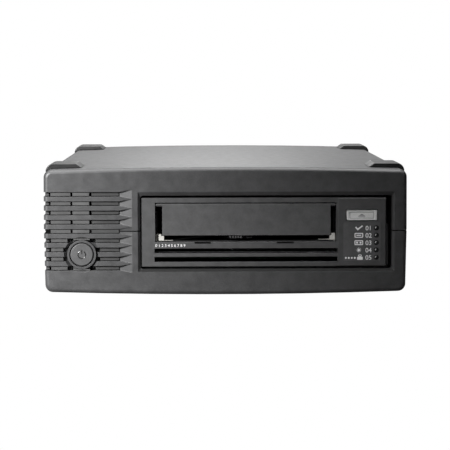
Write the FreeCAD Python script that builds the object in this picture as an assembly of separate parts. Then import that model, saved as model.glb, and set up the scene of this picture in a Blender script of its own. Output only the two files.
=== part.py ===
import FreeCAD, Part
import math
import os

# A table-top data tape drive: a half-height cartridge drive in a clamshell
# plastic housing with its own power supply, fan and rear sockets.
# Millimetres. X to the right seen from the front, Y to the back, Z up.
# The origin lies on the table under the middle of the housing.

os.makedirs("parts", exist_ok=True)
V = FreeCAD.Vector
Y_AXIS = V(0, 1, 0)
Z_AXIS = V(0, 0, 1)

# Housing. What is placed across follows its width, what is placed along follows its depth.
WIDTH = 218.0
DEPTH = 284.0
ACROSS = WIDTH / 218.0
ALONG = DEPTH / 284.0
FOOT_DROP = 2.0
BODY_HEIGHT = 76.9
TOP_CROWN = 1.7
BOTTOM_CROWN = 1.8
SIDE_DRAFT = 0.6
WALL = 3.0
LONG_EDGE_R = 4.6
END_EDGE_R = 2.6
SEAM_HEIGHT = 40.5
SEAM_GAP = 0.6
TONGUE_DEPTH = 1.5
TONGUE_RISE = 2.0

# Front grille at the left
SLOT_COUNT = 9
SLOT_PITCH = 5.56
SLOT_HEIGHT = 2.75
GRILLE_TOP = 64.1
GRILLE_RIGHT = -63.5 * ACROSS
GRILLE_TAPER = 7.5 * ACROSS
GRILLE_TAPER_DEPTH = 2.2
GRILLE_SIDE_RUN = 15.0
SEAM_SLOT_DEPTH = 0.9

# Power button
BUTTON_X = -86.3 * ACROSS
BUTTON_Z = 26.5
BUTTON_R = 6.9
BUTTON_GAP = 0.5
BUTTON_TRAVEL = 2.0
RING_WALL = 1.3
RING_CLEARING = 1.9
RING_LENGTH = 11.6
RUN_GAP = 0.3
ROUND_SIDES = 36
SHAFT_GAP = 0.05

# Drive and its opening in the front wall
DRIVE_WIDTH = 147.0 * ACROSS
DRIVE_HEIGHT = 41.4
DRIVE_LENGTH = 208.0 * ALONG
DRIVE_X = 23.1 * ACROSS
DRIVE_Z = 39.6
BEZEL_SETBACK = 2.0
OPENING_GAP_LEFT = 0.7
OPENING_GAP_RIGHT = 3.5
OPENING_GAP_TOP = 1.5
OPENING_GAP_BOTTOM = 1.4
OPENING_CHAMFER = 1.5
OPENING_TOP_CHAMFER = 2.2
OPENING_CORNER_R = 1.5
OPENING_RETURN = 6.0
RETURN_WALL = 1.6

# Corner pads and feet
PAD_SETBACK = 13.9
PAD_LENGTH = 30.0
PAD_INNER_X = WIDTH / 2 - 22.1
PAD_FLAT_X = WIDTH / 2 - 18.4
PAD_OUTER_X = WIDTH / 2 - 5.5
PAD_TOP = 80.4
PAD_HEM_Z = 75.5
FOOT_R = 7.0
FOOT_X = WIDTH / 2 - 21.0
FOOT_Y = DEPTH / 2 - 36.0
FOOT_SEAT = 2.0
FOOT_SIDES = 20
FOOT_CHAMFER = 0.8

FRONT = -DEPTH / 2
REAR = DEPTH / 2
BODY_BOTTOM = FOOT_DROP
BODY_TOP = FOOT_DROP + BODY_HEIGHT


def box(x0, x1, y0, y1, z0, z1):
    """A block between two values on each axis."""
    return Part.makeBox(x1 - x0, y1 - y0, z1 - z0, V(x0, y0, z0))


def rod(radius, start, end):
    """A round bar from one point to another."""
    way = V(*end) - V(*start)
    return Part.makeCylinder(radius, way.Length, V(*start), way)


def bar(radius, start, end, sides=8):
    """A straight bar with flats, its corners on the radius, for small and hidden round parts."""
    way = V(*end) - V(*start)
    turns = [math.pi * (2 * index + 1) / sides for index in range(sides)]
    corners = [V(radius * math.cos(turn), radius * math.sin(turn), 0) for turn in turns]
    prism = Part.Face(Part.makePolygon(corners + corners[:1])).extrude(V(0, 0, way.Length))
    prism.Placement = FreeCAD.Placement(V(*start), FreeCAD.Rotation(Z_AXIS, way))
    return prism


def swept(path, radius, sides):
    """A bar with flats bent along a path of points, mitred at each of them."""
    ways = [(after - before).normalize() for before, after in zip(path, path[1:])]
    turn = FreeCAD.Rotation(Z_AXIS, ways[0])
    angles = [math.pi * (2 * index + 1) / sides for index in range(sides)]
    ring = [path[0] + turn.multVec(V(radius * math.cos(a), radius * math.sin(a), 0)) for a in angles]
    faces = [Part.Face(Part.makePolygon(ring + ring[:1]))]
    for index, way in enumerate(ways):
        last = index == len(ways) - 1
        mitre = way if last else (way + ways[index + 1]).normalize()
        moved = []
        for point in ring:
            reach = (path[index + 1] - point).dot(mitre) / way.dot(mitre)
            moved.append(point + way * reach)
        for side in range(sides):
            after = (side + 1) % sides
            corners = [ring[side], ring[after], moved[after], moved[side], ring[side]]
            faces.append(Part.Face(Part.makePolygon(corners)))
        ring = moved
    faces.append(Part.Face(Part.makePolygon(ring + ring[:1])))
    shell = Part.makeShell(faces)
    shell.sewShape()
    body = Part.makeSolid(shell)
    if body.Volume < 0:
        body.reverse()
    return body


def tube(outer, inner, start, end):
    """A round sleeve from one point to another."""
    return rod(outer, start, end).cut(rod(inner, start, end))


def joined(pieces):
    """One solid from pieces that meet."""
    first, rest = pieces[0], pieces[1:]
    whole = first.fuse(rest) if rest else first
    whole = whole.removeSplitter()
    return whole.Solids[0] if len(whole.Solids) == 1 else whole


def group(pieces):
    """Separate solids that share one node."""
    return Part.makeCompound(pieces)


def rounded(shape, radius, picked):
    """The shape with a radius on each edge that the test picks."""
    edges = [edge for edge in shape.Edges if picked(edge)]
    return shape.makeFillet(radius, edges) if edges else shape


def runs_along(edge, axis):
    """True for a straight edge parallel to an axis."""
    if not isinstance(edge.Curve, Part.Line):
        return False
    return abs(abs(edge.Curve.Direction.dot(axis)) - 1) < 1e-6


def soft_box(x0, x1, y0, y1, z0, z1, radius, axis):
    """A block with its edges along one axis rounded."""
    block = box(x0, x1, y0, y1, z0, z1)
    return rounded(block, radius, lambda edge: runs_along(edge, axis))


def save(name, shape):
    """Write one node."""
    shape.exportStep("parts/" + name + ".step")


# ---------------------------------------------------------------- housing


def crowned_block(inset, front, rear):
    """The housing's crowned section, drawn in by a wall, run from front to rear."""
    top_half = WIDTH / 2 - inset - SIDE_DRAFT / 3
    bottom_half = WIDTH / 2 - inset - SIDE_DRAFT
    seam_half = WIDTH / 2 - inset
    top = BODY_TOP - inset
    bottom = BODY_BOTTOM + inset
    top_side = top - TOP_CROWN
    bottom_side = bottom + BOTTOM_CROWN
    low_left = V(-bottom_half, front, bottom_side)
    low_right = V(bottom_half, front, bottom_side)
    mid_left = V(-seam_half, front, SEAM_HEIGHT)
    mid_right = V(seam_half, front, SEAM_HEIGHT)
    high_left = V(-top_half, front, top_side)
    high_right = V(top_half, front, top_side)
    edges = [
        Part.Arc(low_left, V(0, front, bottom), low_right).toShape(),
        Part.LineSegment(low_right, mid_right).toShape(),
        Part.LineSegment(mid_right, high_right).toShape(),
        Part.Arc(high_right, V(0, front, top), high_left).toShape(),
        Part.LineSegment(high_left, mid_left).toShape(),
        Part.LineSegment(mid_left, low_left).toShape(),
    ]
    block = Part.Face(Part.Wire(edges)).extrude(V(0, rear - front, 0))
    corner = max(LONG_EDGE_R - inset, 0.8)
    far = bottom_half - 1

    def at_corner(edge):
        middle = edge.CenterOfMass
        off_seam = abs(middle.z - SEAM_HEIGHT) > 1
        return runs_along(edge, Y_AXIS) and abs(middle.x) > far and off_seam

    return rounded(block, corner, at_corner)


def outer_body():
    """The whole outside of the closed housing with its end edges rounded."""
    block = crowned_block(0, FRONT, REAR)

    def at_end(edge):
        box_of = edge.BoundBox
        return box_of.YLength < 0.01 and abs(abs(box_of.Center.y) - DEPTH / 2) < 0.01

    return rounded(block, END_EDGE_R, at_end)


DRIVE_LEFT = DRIVE_X - DRIVE_WIDTH / 2
DRIVE_RIGHT = DRIVE_X + DRIVE_WIDTH / 2
DRIVE_BOTTOM = DRIVE_Z - DRIVE_HEIGHT / 2
DRIVE_TOP = DRIVE_Z + DRIVE_HEIGHT / 2
DRIVE_FRONT = FRONT + BEZEL_SETBACK
DRIVE_REAR = DRIVE_FRONT + DRIVE_LENGTH
OPEN_LEFT = DRIVE_LEFT - OPENING_GAP_LEFT
OPEN_RIGHT = DRIVE_RIGHT + OPENING_GAP_RIGHT
OPEN_BOTTOM = DRIVE_BOTTOM - OPENING_GAP_BOTTOM
OPEN_TOP = DRIVE_TOP + OPENING_GAP_TOP


def opening_wire(y, grow, top_grow):
    """The drive opening's outline at a depth, grown on each side."""
    x0, x1 = OPEN_LEFT - grow, OPEN_RIGHT + grow
    z0, z1 = OPEN_BOTTOM - grow, OPEN_TOP + top_grow
    return Part.makePolygon([V(x0, y, z0), V(x1, y, z0), V(x1, y, z1), V(x0, y, z1), V(x0, y, z0)])


def opening_cutter():
    """The drive opening with its flared mouth."""
    through = soft_box(
        OPEN_LEFT, OPEN_RIGHT, FRONT - 1, FRONT + OPENING_RETURN + 2,
        OPEN_BOTTOM, OPEN_TOP, OPENING_CORNER_R, Y_AXIS)
    mouth = Part.makeLoft([
        opening_wire(FRONT, OPENING_CHAMFER, OPENING_TOP_CHAMFER),
        opening_wire(FRONT + OPENING_CHAMFER, 0, 0)], True, True)
    return through.fuse(mouth)


def opening_return():
    """The inward lip that stiffens the edge of the drive opening."""
    return box(
        OPEN_LEFT - RETURN_WALL, OPEN_RIGHT + RETURN_WALL, FRONT + WALL / 2,
        FRONT + OPENING_RETURN, OPEN_BOTTOM - RETURN_WALL, OPEN_TOP + RETURN_WALL)


def slot_middle(index):
    """The height of a grille slot's middle line, counted from the top."""
    return GRILLE_TOP - SLOT_HEIGHT / 2 - index * SLOT_PITCH


def grille_cutter():
    """All the grille slots: through the face, round the corner and ramped out at the right."""
    left = -WIDTH / 2 - 1
    pieces = []
    for index in range(SLOT_COUNT):
        middle = slot_middle(index)
        low, high = middle - SLOT_HEIGHT / 2, middle + SLOT_HEIGHT / 2
        across_seam = low < SEAM_HEIGHT + SEAM_GAP < high or low < SEAM_HEIGHT - SEAM_GAP < high
        depth = SEAM_SLOT_DEPTH if across_seam else WALL + 1
        pieces.append(box(left, GRILLE_RIGHT, FRONT - 1, FRONT + depth, low, high))
        side_depth = SEAM_SLOT_DEPTH if across_seam else WALL + 1.5
        pieces.append(box(left, -WIDTH / 2 + side_depth, FRONT - 1, FRONT + GRILLE_SIDE_RUN, low, high))
        ramp = Part.makeLoft([
            ramp_wire(GRILLE_RIGHT, middle, SLOT_HEIGHT / 2, min(depth, GRILLE_TAPER_DEPTH)),
            ramp_wire(GRILLE_RIGHT + GRILLE_TAPER, middle, SLOT_PITCH / 2 - 0.12, 0.03)], True, True)
        pieces.append(ramp)
    return pieces


def ramp_wire(x, middle, half, depth):
    """One end of the wedge that fades a grille slot into the face."""
    y0, y1 = FRONT - 1, FRONT + depth
    z0, z1 = middle - half, middle + half
    return Part.makePolygon([V(x, y0, z0), V(x, y1, z0), V(x, y1, z1), V(x, y0, z1), V(x, y0, z0)])


RING_R = BUTTON_R + BUTTON_GAP + RING_WALL
RING_BORE_R = BUTTON_R + BUTTON_GAP
RING_END = FRONT + RING_LENGTH

POST_R = 4.0
SCREW_R = 1.5
SCREW_HEAD_R = 2.5
SCREW_HEAD_H = 2.2
CASE_SCREW_SEAT = 12.0
FOOT_SEAT_Z = BODY_BOTTOM + FOOT_SEAT + 1.0
POST_IN = WIDTH / 2 - 7.3
INNER_POST = (-57.5 * ACROSS, FRONT + 18)
CASE_POSTS = [(POST_IN, FRONT + 22), (POST_IN, REAR - 30), (-POST_IN, REAR - 30), INNER_POST]
CASE_POST_R = 3.5
CRADLE_SHEET = 1.2
CRADLE_UNDER = DRIVE_BOTTOM - CRADLE_SHEET
CRADLE_POSTS = [(x * ACROSS, y * ALONG) for x in (-42.0, 88.0) for y in (-112.0, 45.0)]
PSU_X0, PSU_X1 = -100.0 * ACROSS, -57.0 * ACROSS
PSU_Y0, PSU_Y1 = -84.0 * ALONG, 98.0 * ALONG
PSU_SHEET = 1.2
PSU_FLOOR = 9.0
PSU_POSTS = [(x, y) for x in (PSU_X0 + 7, PSU_X1 - 7) for y in (PSU_Y0 + 8, PSU_Y1 - 8)]
PANEL_RECESS = 5.0
PANEL_SHEET = 1.2
PANEL_Y = REAR - PANEL_RECESS - PANEL_SHEET
LUG_X = WIDTH / 2 - 8.0
LUG_HALF = 4.0
LUG_DEPTH = 8.0
LUG_HEIGHTS = (15.5, 66.0)
BOARD_SHEET = 1.6
SWITCH_BOARD_Y = FRONT + 22.0
SWITCH_BOARD_HALF = 11.0


def hollow_housing():
    """The closed housing hollowed out, open at the rear, with the opening's return lip."""
    cavity = crowned_block(WALL, FRONT + WALL, REAR + 1)
    shell = outer_body().cut(cavity)
    return shell.fuse(opening_return()).removeSplitter()


def seam_tongue(clearance):
    """The raised inner tongue that the lower half carries and the upper half fits over."""
    outside = crowned_block(TONGUE_DEPTH - clearance, FRONT + TONGUE_DEPTH - clearance, REAR)
    inside = crowned_block(WALL, FRONT + WALL, REAR + 1)
    band = box(-WIDTH, WIDTH, FRONT, REAR, SEAM_HEIGHT - SEAM_GAP, SEAM_HEIGHT + TONGUE_RISE + clearance)
    return outside.cut(inside).common(band)


def split_housing():
    """The two halves, before their posts and slots."""
    whole = hollow_housing()
    above = box(-WIDTH, WIDTH, FRONT - 5, REAR + 5, SEAM_HEIGHT + SEAM_GAP / 2, BODY_TOP + 5)
    below = box(-WIDTH, WIDTH, FRONT - 5, REAR + 5, -5, SEAM_HEIGHT - SEAM_GAP / 2)
    upper = whole.common(above).cut(seam_tongue(0.1))
    lower = whole.common(below).fuse(seam_tongue(0))
    return upper, lower


def ring_clearing():
    """The cone that frees the ring of the power button from the grille bars."""
    depth = WALL - 0.6
    cone = Part.makeCone(
        RING_R + RING_CLEARING, RING_R, depth, V(BUTTON_X, FRONT, BUTTON_Z), Y_AXIS)
    lead = rod(RING_R + RING_CLEARING, (BUTTON_X, FRONT - 1, BUTTON_Z), (BUTTON_X, FRONT, BUTTON_Z))
    return cone.fuse(lead)


def wall_lug(side, height):
    """A block on the side wall that takes a rear panel screw."""
    outer = side * (WIDTH / 2 - WALL + 0.5)
    inner = side * (LUG_X - LUG_HALF)
    x0, x1 = min(outer, inner), max(outer, inner)
    block = box(x0, x1, PANEL_Y - LUG_DEPTH, PANEL_Y, height - LUG_HALF, height + LUG_HALF)
    pilot = bar(SCREW_R, (side * LUG_X, PANEL_Y - LUG_DEPTH - 1, height), (side * LUG_X, PANEL_Y + 1, height))
    return block.cut(pilot)


def make_lower_shell(lower):
    """The lower half with its ring, posts, feet seats and board ribs."""
    cavity_floor = BODY_BOTTOM + WALL
    inside = crowned_block(WALL - 0.5, FRONT + WALL, REAR)
    pieces = [lower]
    for x, y in CASE_POSTS:
        pieces.append(bar(CASE_POST_R, (x, y, 0), (x, y, SEAM_HEIGHT)).common(inside))
    for x, y in CRADLE_POSTS:
        pieces.append(bar(POST_R, (x, y, 0), (x, y, CRADLE_UNDER)).common(inside))
    for x, y in PSU_POSTS:
        pieces.append(bar(POST_R, (x, y, 0), (x, y, PSU_FLOOR)).common(inside))
    for side in (-1, 1):
        pieces.append(wall_lug(side, LUG_HEIGHTS[0]))
    for side in (-1, 1):
        x = BUTTON_X + side * (SWITCH_BOARD_HALF + 1)
        rib = box(x - 2, x + 2, SWITCH_BOARD_Y - 2.5, SWITCH_BOARD_Y + BOARD_SHEET + 2.5, 0, BUTTON_Z + 9)
        pieces.append(rib.common(inside))
    shell = joined(pieces)
    cutters = grille_cutter()
    cutters.append(opening_cutter())
    cutters.append(ring_clearing())
    shell = shell.cut(cutters)
    ring = tube(RING_R, RING_BORE_R, (BUTTON_X, FRONT, BUTTON_Z), (BUTTON_X, RING_END, BUTTON_Z))
    bore = rod(RING_BORE_R, (BUTTON_X, FRONT - 1, BUTTON_Z), (BUTTON_X, RING_END, BUTTON_Z))
    shell = shell.fuse(ring).cut(bore)
    holes = []
    for x, y in CASE_POSTS:
        holes.append(bar(SCREW_R, (x, y, 0), (x, y, SEAM_HEIGHT + 1)))
        holes.append(bar(SCREW_HEAD_R + 0.5, (x, y, 0), (x, y, CASE_SCREW_SEAT)))
    for x, y in CRADLE_POSTS:
        holes.append(bar(SCREW_R, (x, y, CRADLE_UNDER - 9), (x, y, CRADLE_UNDER + 1)))
    for x, y in PSU_POSTS:
        holes.append(bar(SCREW_R, (x, y, cavity_floor + 1.5), (x, y, PSU_FLOOR + 1)))
    for x in (-FOOT_X, FOOT_X):
        for y in (-FOOT_Y, FOOT_Y):
            holes.append(bar(FOOT_R, (x, y, -1), (x, y, FOOT_SEAT_Z), FOOT_SIDES))
    board_slot = box(
        BUTTON_X - SWITCH_BOARD_HALF, BUTTON_X + SWITCH_BOARD_HALF, SWITCH_BOARD_Y,
        SWITCH_BOARD_Y + BOARD_SHEET, BUTTON_Z - 12, BUTTON_Z + 12)
    holes.append(board_slot)
    return shell.cut(holes).removeSplitter()


def make_upper_shell(upper):
    """The upper half with its posts."""
    inside = crowned_block(WALL - 0.5, FRONT + WALL, REAR)
    pieces = [upper]
    for x, y in CASE_POSTS:
        pieces.append(bar(CASE_POST_R, (x, y, SEAM_HEIGHT), (x, y, BODY_TOP)).common(inside))
    for side in (-1, 1):
        pieces.append(wall_lug(side, LUG_HEIGHTS[1]))
    shell = joined(pieces)
    cutters = grille_cutter()
    cutters.append(opening_cutter())
    for x, y in CASE_POSTS:
        cutters.append(bar(SCREW_R, (x, y, SEAM_HEIGHT - 1), (x, y, SEAM_HEIGHT + 12)))
    return shell.cut(cutters).removeSplitter()


upper_half, lower_half = split_housing()
upper_shell = make_upper_shell(upper_half)
lower_shell = make_lower_shell(lower_half)
save("upper_shell", upper_shell)
save("lower_shell", lower_shell)


def corner_pad(side_x, side_y):
    """A pad that wraps one end of a long top edge."""
    start = side_y * (DEPTH / 2 - PAD_SETBACK)
    end = side_y * (DEPTH / 2 - PAD_SETBACK - PAD_LENGTH)
    y0, y1 = min(start, end), max(start, end)
    half = WIDTH / 2 - SIDE_DRAFT / 3

    def corner(x, z):
        return V(side_x * x, y0, z)

    inner_low = corner(PAD_INNER_X, BODY_TOP - 4)
    inner_high = corner(PAD_INNER_X, BODY_TOP - 1.1)
    flat_start = corner(PAD_FLAT_X, PAD_TOP)
    flat_end = corner(PAD_OUTER_X, PAD_TOP)
    bend = corner(half - 1.35, PAD_TOP - 1.55)
    hem = corner(half, PAD_HEM_Z)
    hem_in = corner(half - 6, PAD_HEM_Z - 4)
    edges = [
        Part.LineSegment(inner_low, inner_high).toShape(),
        Part.LineSegment(inner_high, flat_start).toShape(),
        Part.LineSegment(flat_start, flat_end).toShape(),
        Part.Arc(flat_end, bend, hem).toShape(),
        Part.LineSegment(hem, hem_in).toShape(),
        Part.LineSegment(hem_in, inner_low).toShape(),
    ]
    block = Part.Face(Part.Wire(edges)).extrude(V(0, y1 - y0, 0))
    pad = block.cut(crowned_block(0, FRONT, REAR))
    solids = sorted(pad.Solids, key=lambda solid: solid.Volume)
    return solids[-1]


save("corner_pads", group([corner_pad(x, y) for x in (-1, 1) for y in (-1, 1)]))

feet = []
for x in (-FOOT_X, FOOT_X):
    for y in (-FOOT_Y, FOOT_Y):
        foot = bar(FOOT_R, (x, y, 0), (x, y, FOOT_SEAT_Z), FOOT_SIDES)
        hem = [edge for edge in foot.Edges if abs(edge.BoundBox.ZMax) < 0.01]
        feet.append(foot.makeChamfer(FOOT_CHAMFER, hem))
save("base_feet", group(feet))

# ------------------------------------------------ behind the front grille

BAFFLE_SHEET = 1.6
BAFFLE_LEFT = -WIDTH / 2 + 5.0
BAFFLE_COLUMN = (BUTTON_X - 5.5, BUTTON_X + 5.0)
BAFFLE_RIGHT = GRILLE_RIGHT + 2.5
BAFFLE_STEPS = (0.9, 0.1, 1.8)
BAFFLE_SLIT = 0.8
BAFFLE_Z0 = 12.5
BAFFLE_Z1 = 67.5


def make_vent_baffle():
    """A stepped screen behind the slots, with air slits between its steps."""
    back = FRONT + WALL
    spans = [
        (BAFFLE_LEFT, BAFFLE_COLUMN[0] - BAFFLE_SLIT, BAFFLE_STEPS[0]),
        (BAFFLE_COLUMN[0], BAFFLE_COLUMN[1], BAFFLE_STEPS[1]),
        (BAFFLE_COLUMN[1] + BAFFLE_SLIT, BAFFLE_RIGHT, BAFFLE_STEPS[2]),
    ]
    spine = back + BAFFLE_STEPS[2] + BAFFLE_SHEET
    pieces = []
    for x0, x1, step in spans:
        pieces.append(box(x0, x1, back + step, spine, BAFFLE_Z0, BAFFLE_Z1))
    for z0 in (BAFFLE_Z0, BAFFLE_Z1 - 3):
        pieces.append(box(BAFFLE_LEFT, BAFFLE_RIGHT, spine - BAFFLE_SHEET, spine, z0, z0 + 3))
    screen = joined(pieces)
    cuts = [rod(RING_R + RUN_GAP, (BUTTON_X, FRONT, BUTTON_Z), (BUTTON_X, spine + 1, BUTTON_Z))]
    for index in range(SLOT_COUNT - 1):
        middle = slot_middle(index) - SLOT_PITCH / 2
        cuts.append(box(BAFFLE_COLUMN[1] + 3, BAFFLE_RIGHT - 3, FRONT, spine + 1, middle - 1.0, middle + 1.0))
    post_x, post_y = CASE_POSTS[3]
    cuts.append(bar(CASE_POST_R + RUN_GAP, (post_x, post_y, 0), (post_x, post_y, BODY_TOP)))
    return screen.cut(cuts)


save("vent_baffle", make_vent_baffle())

# ---------------------------------------------------------- power button

BUTTON_FACE_Y = FRONT + 0.3
BUTTON_FLANGE = 1.2
BUTTON_FLANGE_Y = RING_END + RUN_GAP
BUTTON_STEM_R = 2.4
SWITCH_PLUNGER_R = 1.5
SWITCH_BODY_DEPTH = 2.2
SWITCH_PLUNGER_LENGTH = 1.0
SWITCH_TIP_Y = SWITCH_BOARD_Y - SWITCH_BODY_DEPTH - SWITCH_PLUNGER_LENGTH
STEM_END_Y = SWITCH_TIP_Y - BUTTON_TRAVEL - RUN_GAP
SPRING_R = 4.7
SPRING_WIRE_R = 0.4
SPRING_TURNS = 4
SPRING_STEPS = 12
BUTTON_LEAD = 0.5


def make_power_button():
    """A round cap with a dished face, a flange behind the ring and a stem."""
    cap = rod(BUTTON_R, (BUTTON_X, BUTTON_FACE_Y, BUTTON_Z), (BUTTON_X, BUTTON_FLANGE_Y, BUTTON_Z))
    rim = [edge for edge in cap.Edges if edge.BoundBox.YMax < BUTTON_FACE_Y + 0.01]
    cap = cap.makeChamfer(BUTTON_LEAD, rim)
    flange_end = BUTTON_FLANGE_Y + BUTTON_FLANGE
    flange = bar(RING_R - 0.2, (BUTTON_X, BUTTON_FLANGE_Y, BUTTON_Z), (BUTTON_X, flange_end, BUTTON_Z), 16)
    stem = bar(BUTTON_STEM_R, (BUTTON_X, flange_end, BUTTON_Z), (BUTTON_X, STEM_END_Y, BUTTON_Z))
    return joined([cap, flange, stem])


def coil_spring(start_y, end_y, radius, wire):
    """A coil spring round the button's stem, from the flange to the board."""
    path = []
    steps = SPRING_TURNS * SPRING_STEPS
    for step in range(steps + 1):
        turn = 2 * math.pi * step / SPRING_STEPS
        y = start_y + (end_y - start_y) * step / steps
        path.append(V(BUTTON_X + radius * math.cos(turn), y, BUTTON_Z + radius * math.sin(turn)))
    return swept(path, wire, 6)


def make_switch_board():
    """The small board in the housing's ribs with its push switch."""
    half = SWITCH_BOARD_HALF
    board = box(
        BUTTON_X - half, BUTTON_X + half, SWITCH_BOARD_Y, SWITCH_BOARD_Y + BOARD_SHEET,
        BUTTON_Z - 12, BUTTON_Z + 12)
    body = box(BUTTON_X - 3.1, BUTTON_X + 3.1, SWITCH_BOARD_Y - SWITCH_BODY_DEPTH, SWITCH_BOARD_Y,
               BUTTON_Z - 3.1, BUTTON_Z + 3.1)
    tip = bar(SWITCH_PLUNGER_R, (BUTTON_X, SWITCH_BOARD_Y - SWITCH_BODY_DEPTH, BUTTON_Z),
              (BUTTON_X, SWITCH_TIP_Y, BUTTON_Z))
    socket = box(BUTTON_X - 5, BUTTON_X + 5, SWITCH_BOARD_Y + BOARD_SHEET, SWITCH_BOARD_Y + BOARD_SHEET + 5,
                 BUTTON_Z - 9, BUTTON_Z - 4)
    return joined([board, body, tip, socket])


save("power_button", make_power_button())
spring_start = BUTTON_FLANGE_Y + BUTTON_FLANGE + SPRING_WIRE_R + SHAFT_GAP
spring_end = SWITCH_BOARD_Y - SPRING_WIRE_R - SHAFT_GAP
save("power_button_spring", coil_spring(spring_start, spring_end, SPRING_R + SPRING_WIRE_R, SPRING_WIRE_R))
save("power_switch_board", make_switch_board())

# ------------------------------------------------------------ power supply

PSU_WALL_HEIGHT = 24.0
PSU_STANDOFF = 4.0
PSU_BOARD_Z = PSU_FLOOR + PSU_SHEET + PSU_STANDOFF
PSU_BOARD_TOP = PSU_BOARD_Z + BOARD_SHEET
PSU_SIDE_VENTS = 5


def make_psu_tray():
    """A folded tray screwed to four posts of the lower half."""
    base = box(PSU_X0, PSU_X1, PSU_Y0, PSU_Y1, PSU_FLOOR, PSU_FLOOR + PSU_SHEET)
    top = PSU_FLOOR + PSU_WALL_HEIGHT
    left = box(PSU_X0, PSU_X0 + PSU_SHEET, PSU_Y0, PSU_Y1, PSU_FLOOR, top)
    right = box(PSU_X1 - PSU_SHEET, PSU_X1, PSU_Y0, PSU_Y1, PSU_FLOOR, top)
    pieces = [base, left, right]
    for x, y in psu_standoffs():
        pieces.append(bar(2.6, (x, y, PSU_FLOOR), (x, y, PSU_BOARD_Z)))
    tray = joined(pieces)
    cuts = [bar(SCREW_R, (x, y, PSU_FLOOR - 1), (x, y, PSU_FLOOR + 2)) for x, y in PSU_POSTS]
    pitch = (PSU_Y1 - PSU_Y0 - 20) / PSU_SIDE_VENTS
    for index in range(PSU_SIDE_VENTS):
        y = PSU_Y0 + 20 + index * pitch
        cuts.append(box(PSU_X0 - 1, PSU_X1 + 1, y, y + pitch / 2, PSU_FLOOR + 13, PSU_FLOOR + 17))
    return tray.cut(cuts)


def psu_standoffs():
    """The four places where the supply's board is carried."""
    return [(x, y) for x in (PSU_X0 + 15, PSU_X1 - 15) for y in (PSU_Y0 + 18, PSU_Y1 - 18)]


def make_psu_board():
    """The supply's board with its fuse, coil and terminal blocks."""
    z = PSU_BOARD_TOP
    board = box(PSU_X0 + 2.5, PSU_X1 - 2.5, PSU_Y0 + 4, PSU_Y1 - 4, PSU_BOARD_Z, z)
    terminals = box(PSU_X0 + 8, PSU_X1 - 10, PSU_Y1 - 17, PSU_Y1 - 7, z, z + 12)
    outlet = box(PSU_X0 + 10, PSU_X1 - 14, PSU_Y0 + 7, PSU_Y0 + 14, z, z + 9)
    choke = bar(8, (PSU_X0 + 16, PSU_Y1 - 30, z), (PSU_X0 + 16, PSU_Y1 - 30, z + 12), 16)
    fuse = bar(2.6, (PSU_X1 - 9, PSU_Y1 - 42, z + 2.4), (PSU_X1 - 9, PSU_Y1 - 24, z + 2.4), 8)
    supply = box(PSU_X1 - 18, PSU_X1 - 6, PSU_Y1 - 60, PSU_Y1 - 50, z, z + 9)
    return joined([board, terminals, outlet, choke, fuse, supply])


def make_psu_transformer():
    """A split core with its winding between the legs."""
    z = PSU_BOARD_TOP
    x = (PSU_X0 + PSU_X1) / 2 - 2
    y = PSU_Y0 + 78 * ALONG
    core = box(x - 14, x + 14, y - 13, y + 13, z + 3, z + 25)
    windows = box(x - 9.5, x + 9.5, y - 14, y + 14, z + 8, z + 20)
    winding = bar(11, (x, y, z + 8), (x, y, z + 20), 16)
    bobbin = box(x - 13, x + 13, y - 14.5, y + 14.5, z, z + 3)
    return joined([core.cut(windows), winding, bobbin])


def make_psu_capacitors():
    """The round storage capacitors standing on the board."""
    z = PSU_BOARD_TOP
    main_can = bar(9, (PSU_X0 + 15, PSU_Y1 - 62, z), (PSU_X0 + 15, PSU_Y1 - 62, z + 30), 20)
    small_cans = []
    for x, y in ((PSU_X0 + 10, PSU_Y0 + 30), (PSU_X0 + 10, PSU_Y0 + 42), (PSU_X0 + 20.5, PSU_Y0 + 30)):
        small_cans.append(bar(4.5, (x, y, z), (x, y, z + 20), 12))
    return group([main_can] + small_cans)


def make_psu_heat_sink():
    """A comb-shaped heat sink along the right edge."""
    z = PSU_BOARD_TOP
    x = PSU_X1 - 7
    y0, y1 = PSU_Y0 + 20 * ALONG, PSU_Y0 + 60 * ALONG
    pieces = [box(x - 2, x, y0, y1, z, z + 28)]
    for index in range(6):
        z0 = z + 5 + index * 4.2
        pieces.append(box(x - 9, x - 1.5, y0, y1, z0, z0 + 1.2))
    return joined(pieces)


def screw(head_r, seat, out, length):
    """A screw with a six-sided head on its seat, pointing out, and its shank in the hole behind."""
    way = V(*out).normalize()
    start = V(*seat)
    head = bar(head_r, seat, start + V(*out), 6)
    shank = bar(SCREW_R, start - way * length, seat)
    return joined([head, shank])


save("psu_tray", make_psu_tray())
save("psu_board", make_psu_board())
save("psu_transformer", make_psu_transformer())
save("psu_capacitors", make_psu_capacitors())
save("psu_heat_sink", make_psu_heat_sink())
psu_seat = PSU_FLOOR + PSU_SHEET
save("psu_screws", group([screw(2.8, (x, y, psu_seat), (0, 0, 1.8), 3.0) for x, y in PSU_POSTS]))
case_reach = SEAM_HEIGHT + 10 - CASE_SCREW_SEAT
case_head = (0, 0, -SCREW_HEAD_H)
case_screws = [screw(SCREW_HEAD_R, (x, y, CASE_SCREW_SEAT), case_head, case_reach) for x, y in CASE_POSTS]
save("case_screws", group(case_screws))

# -------------------------------------------- rear panel, fan and sockets

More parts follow.
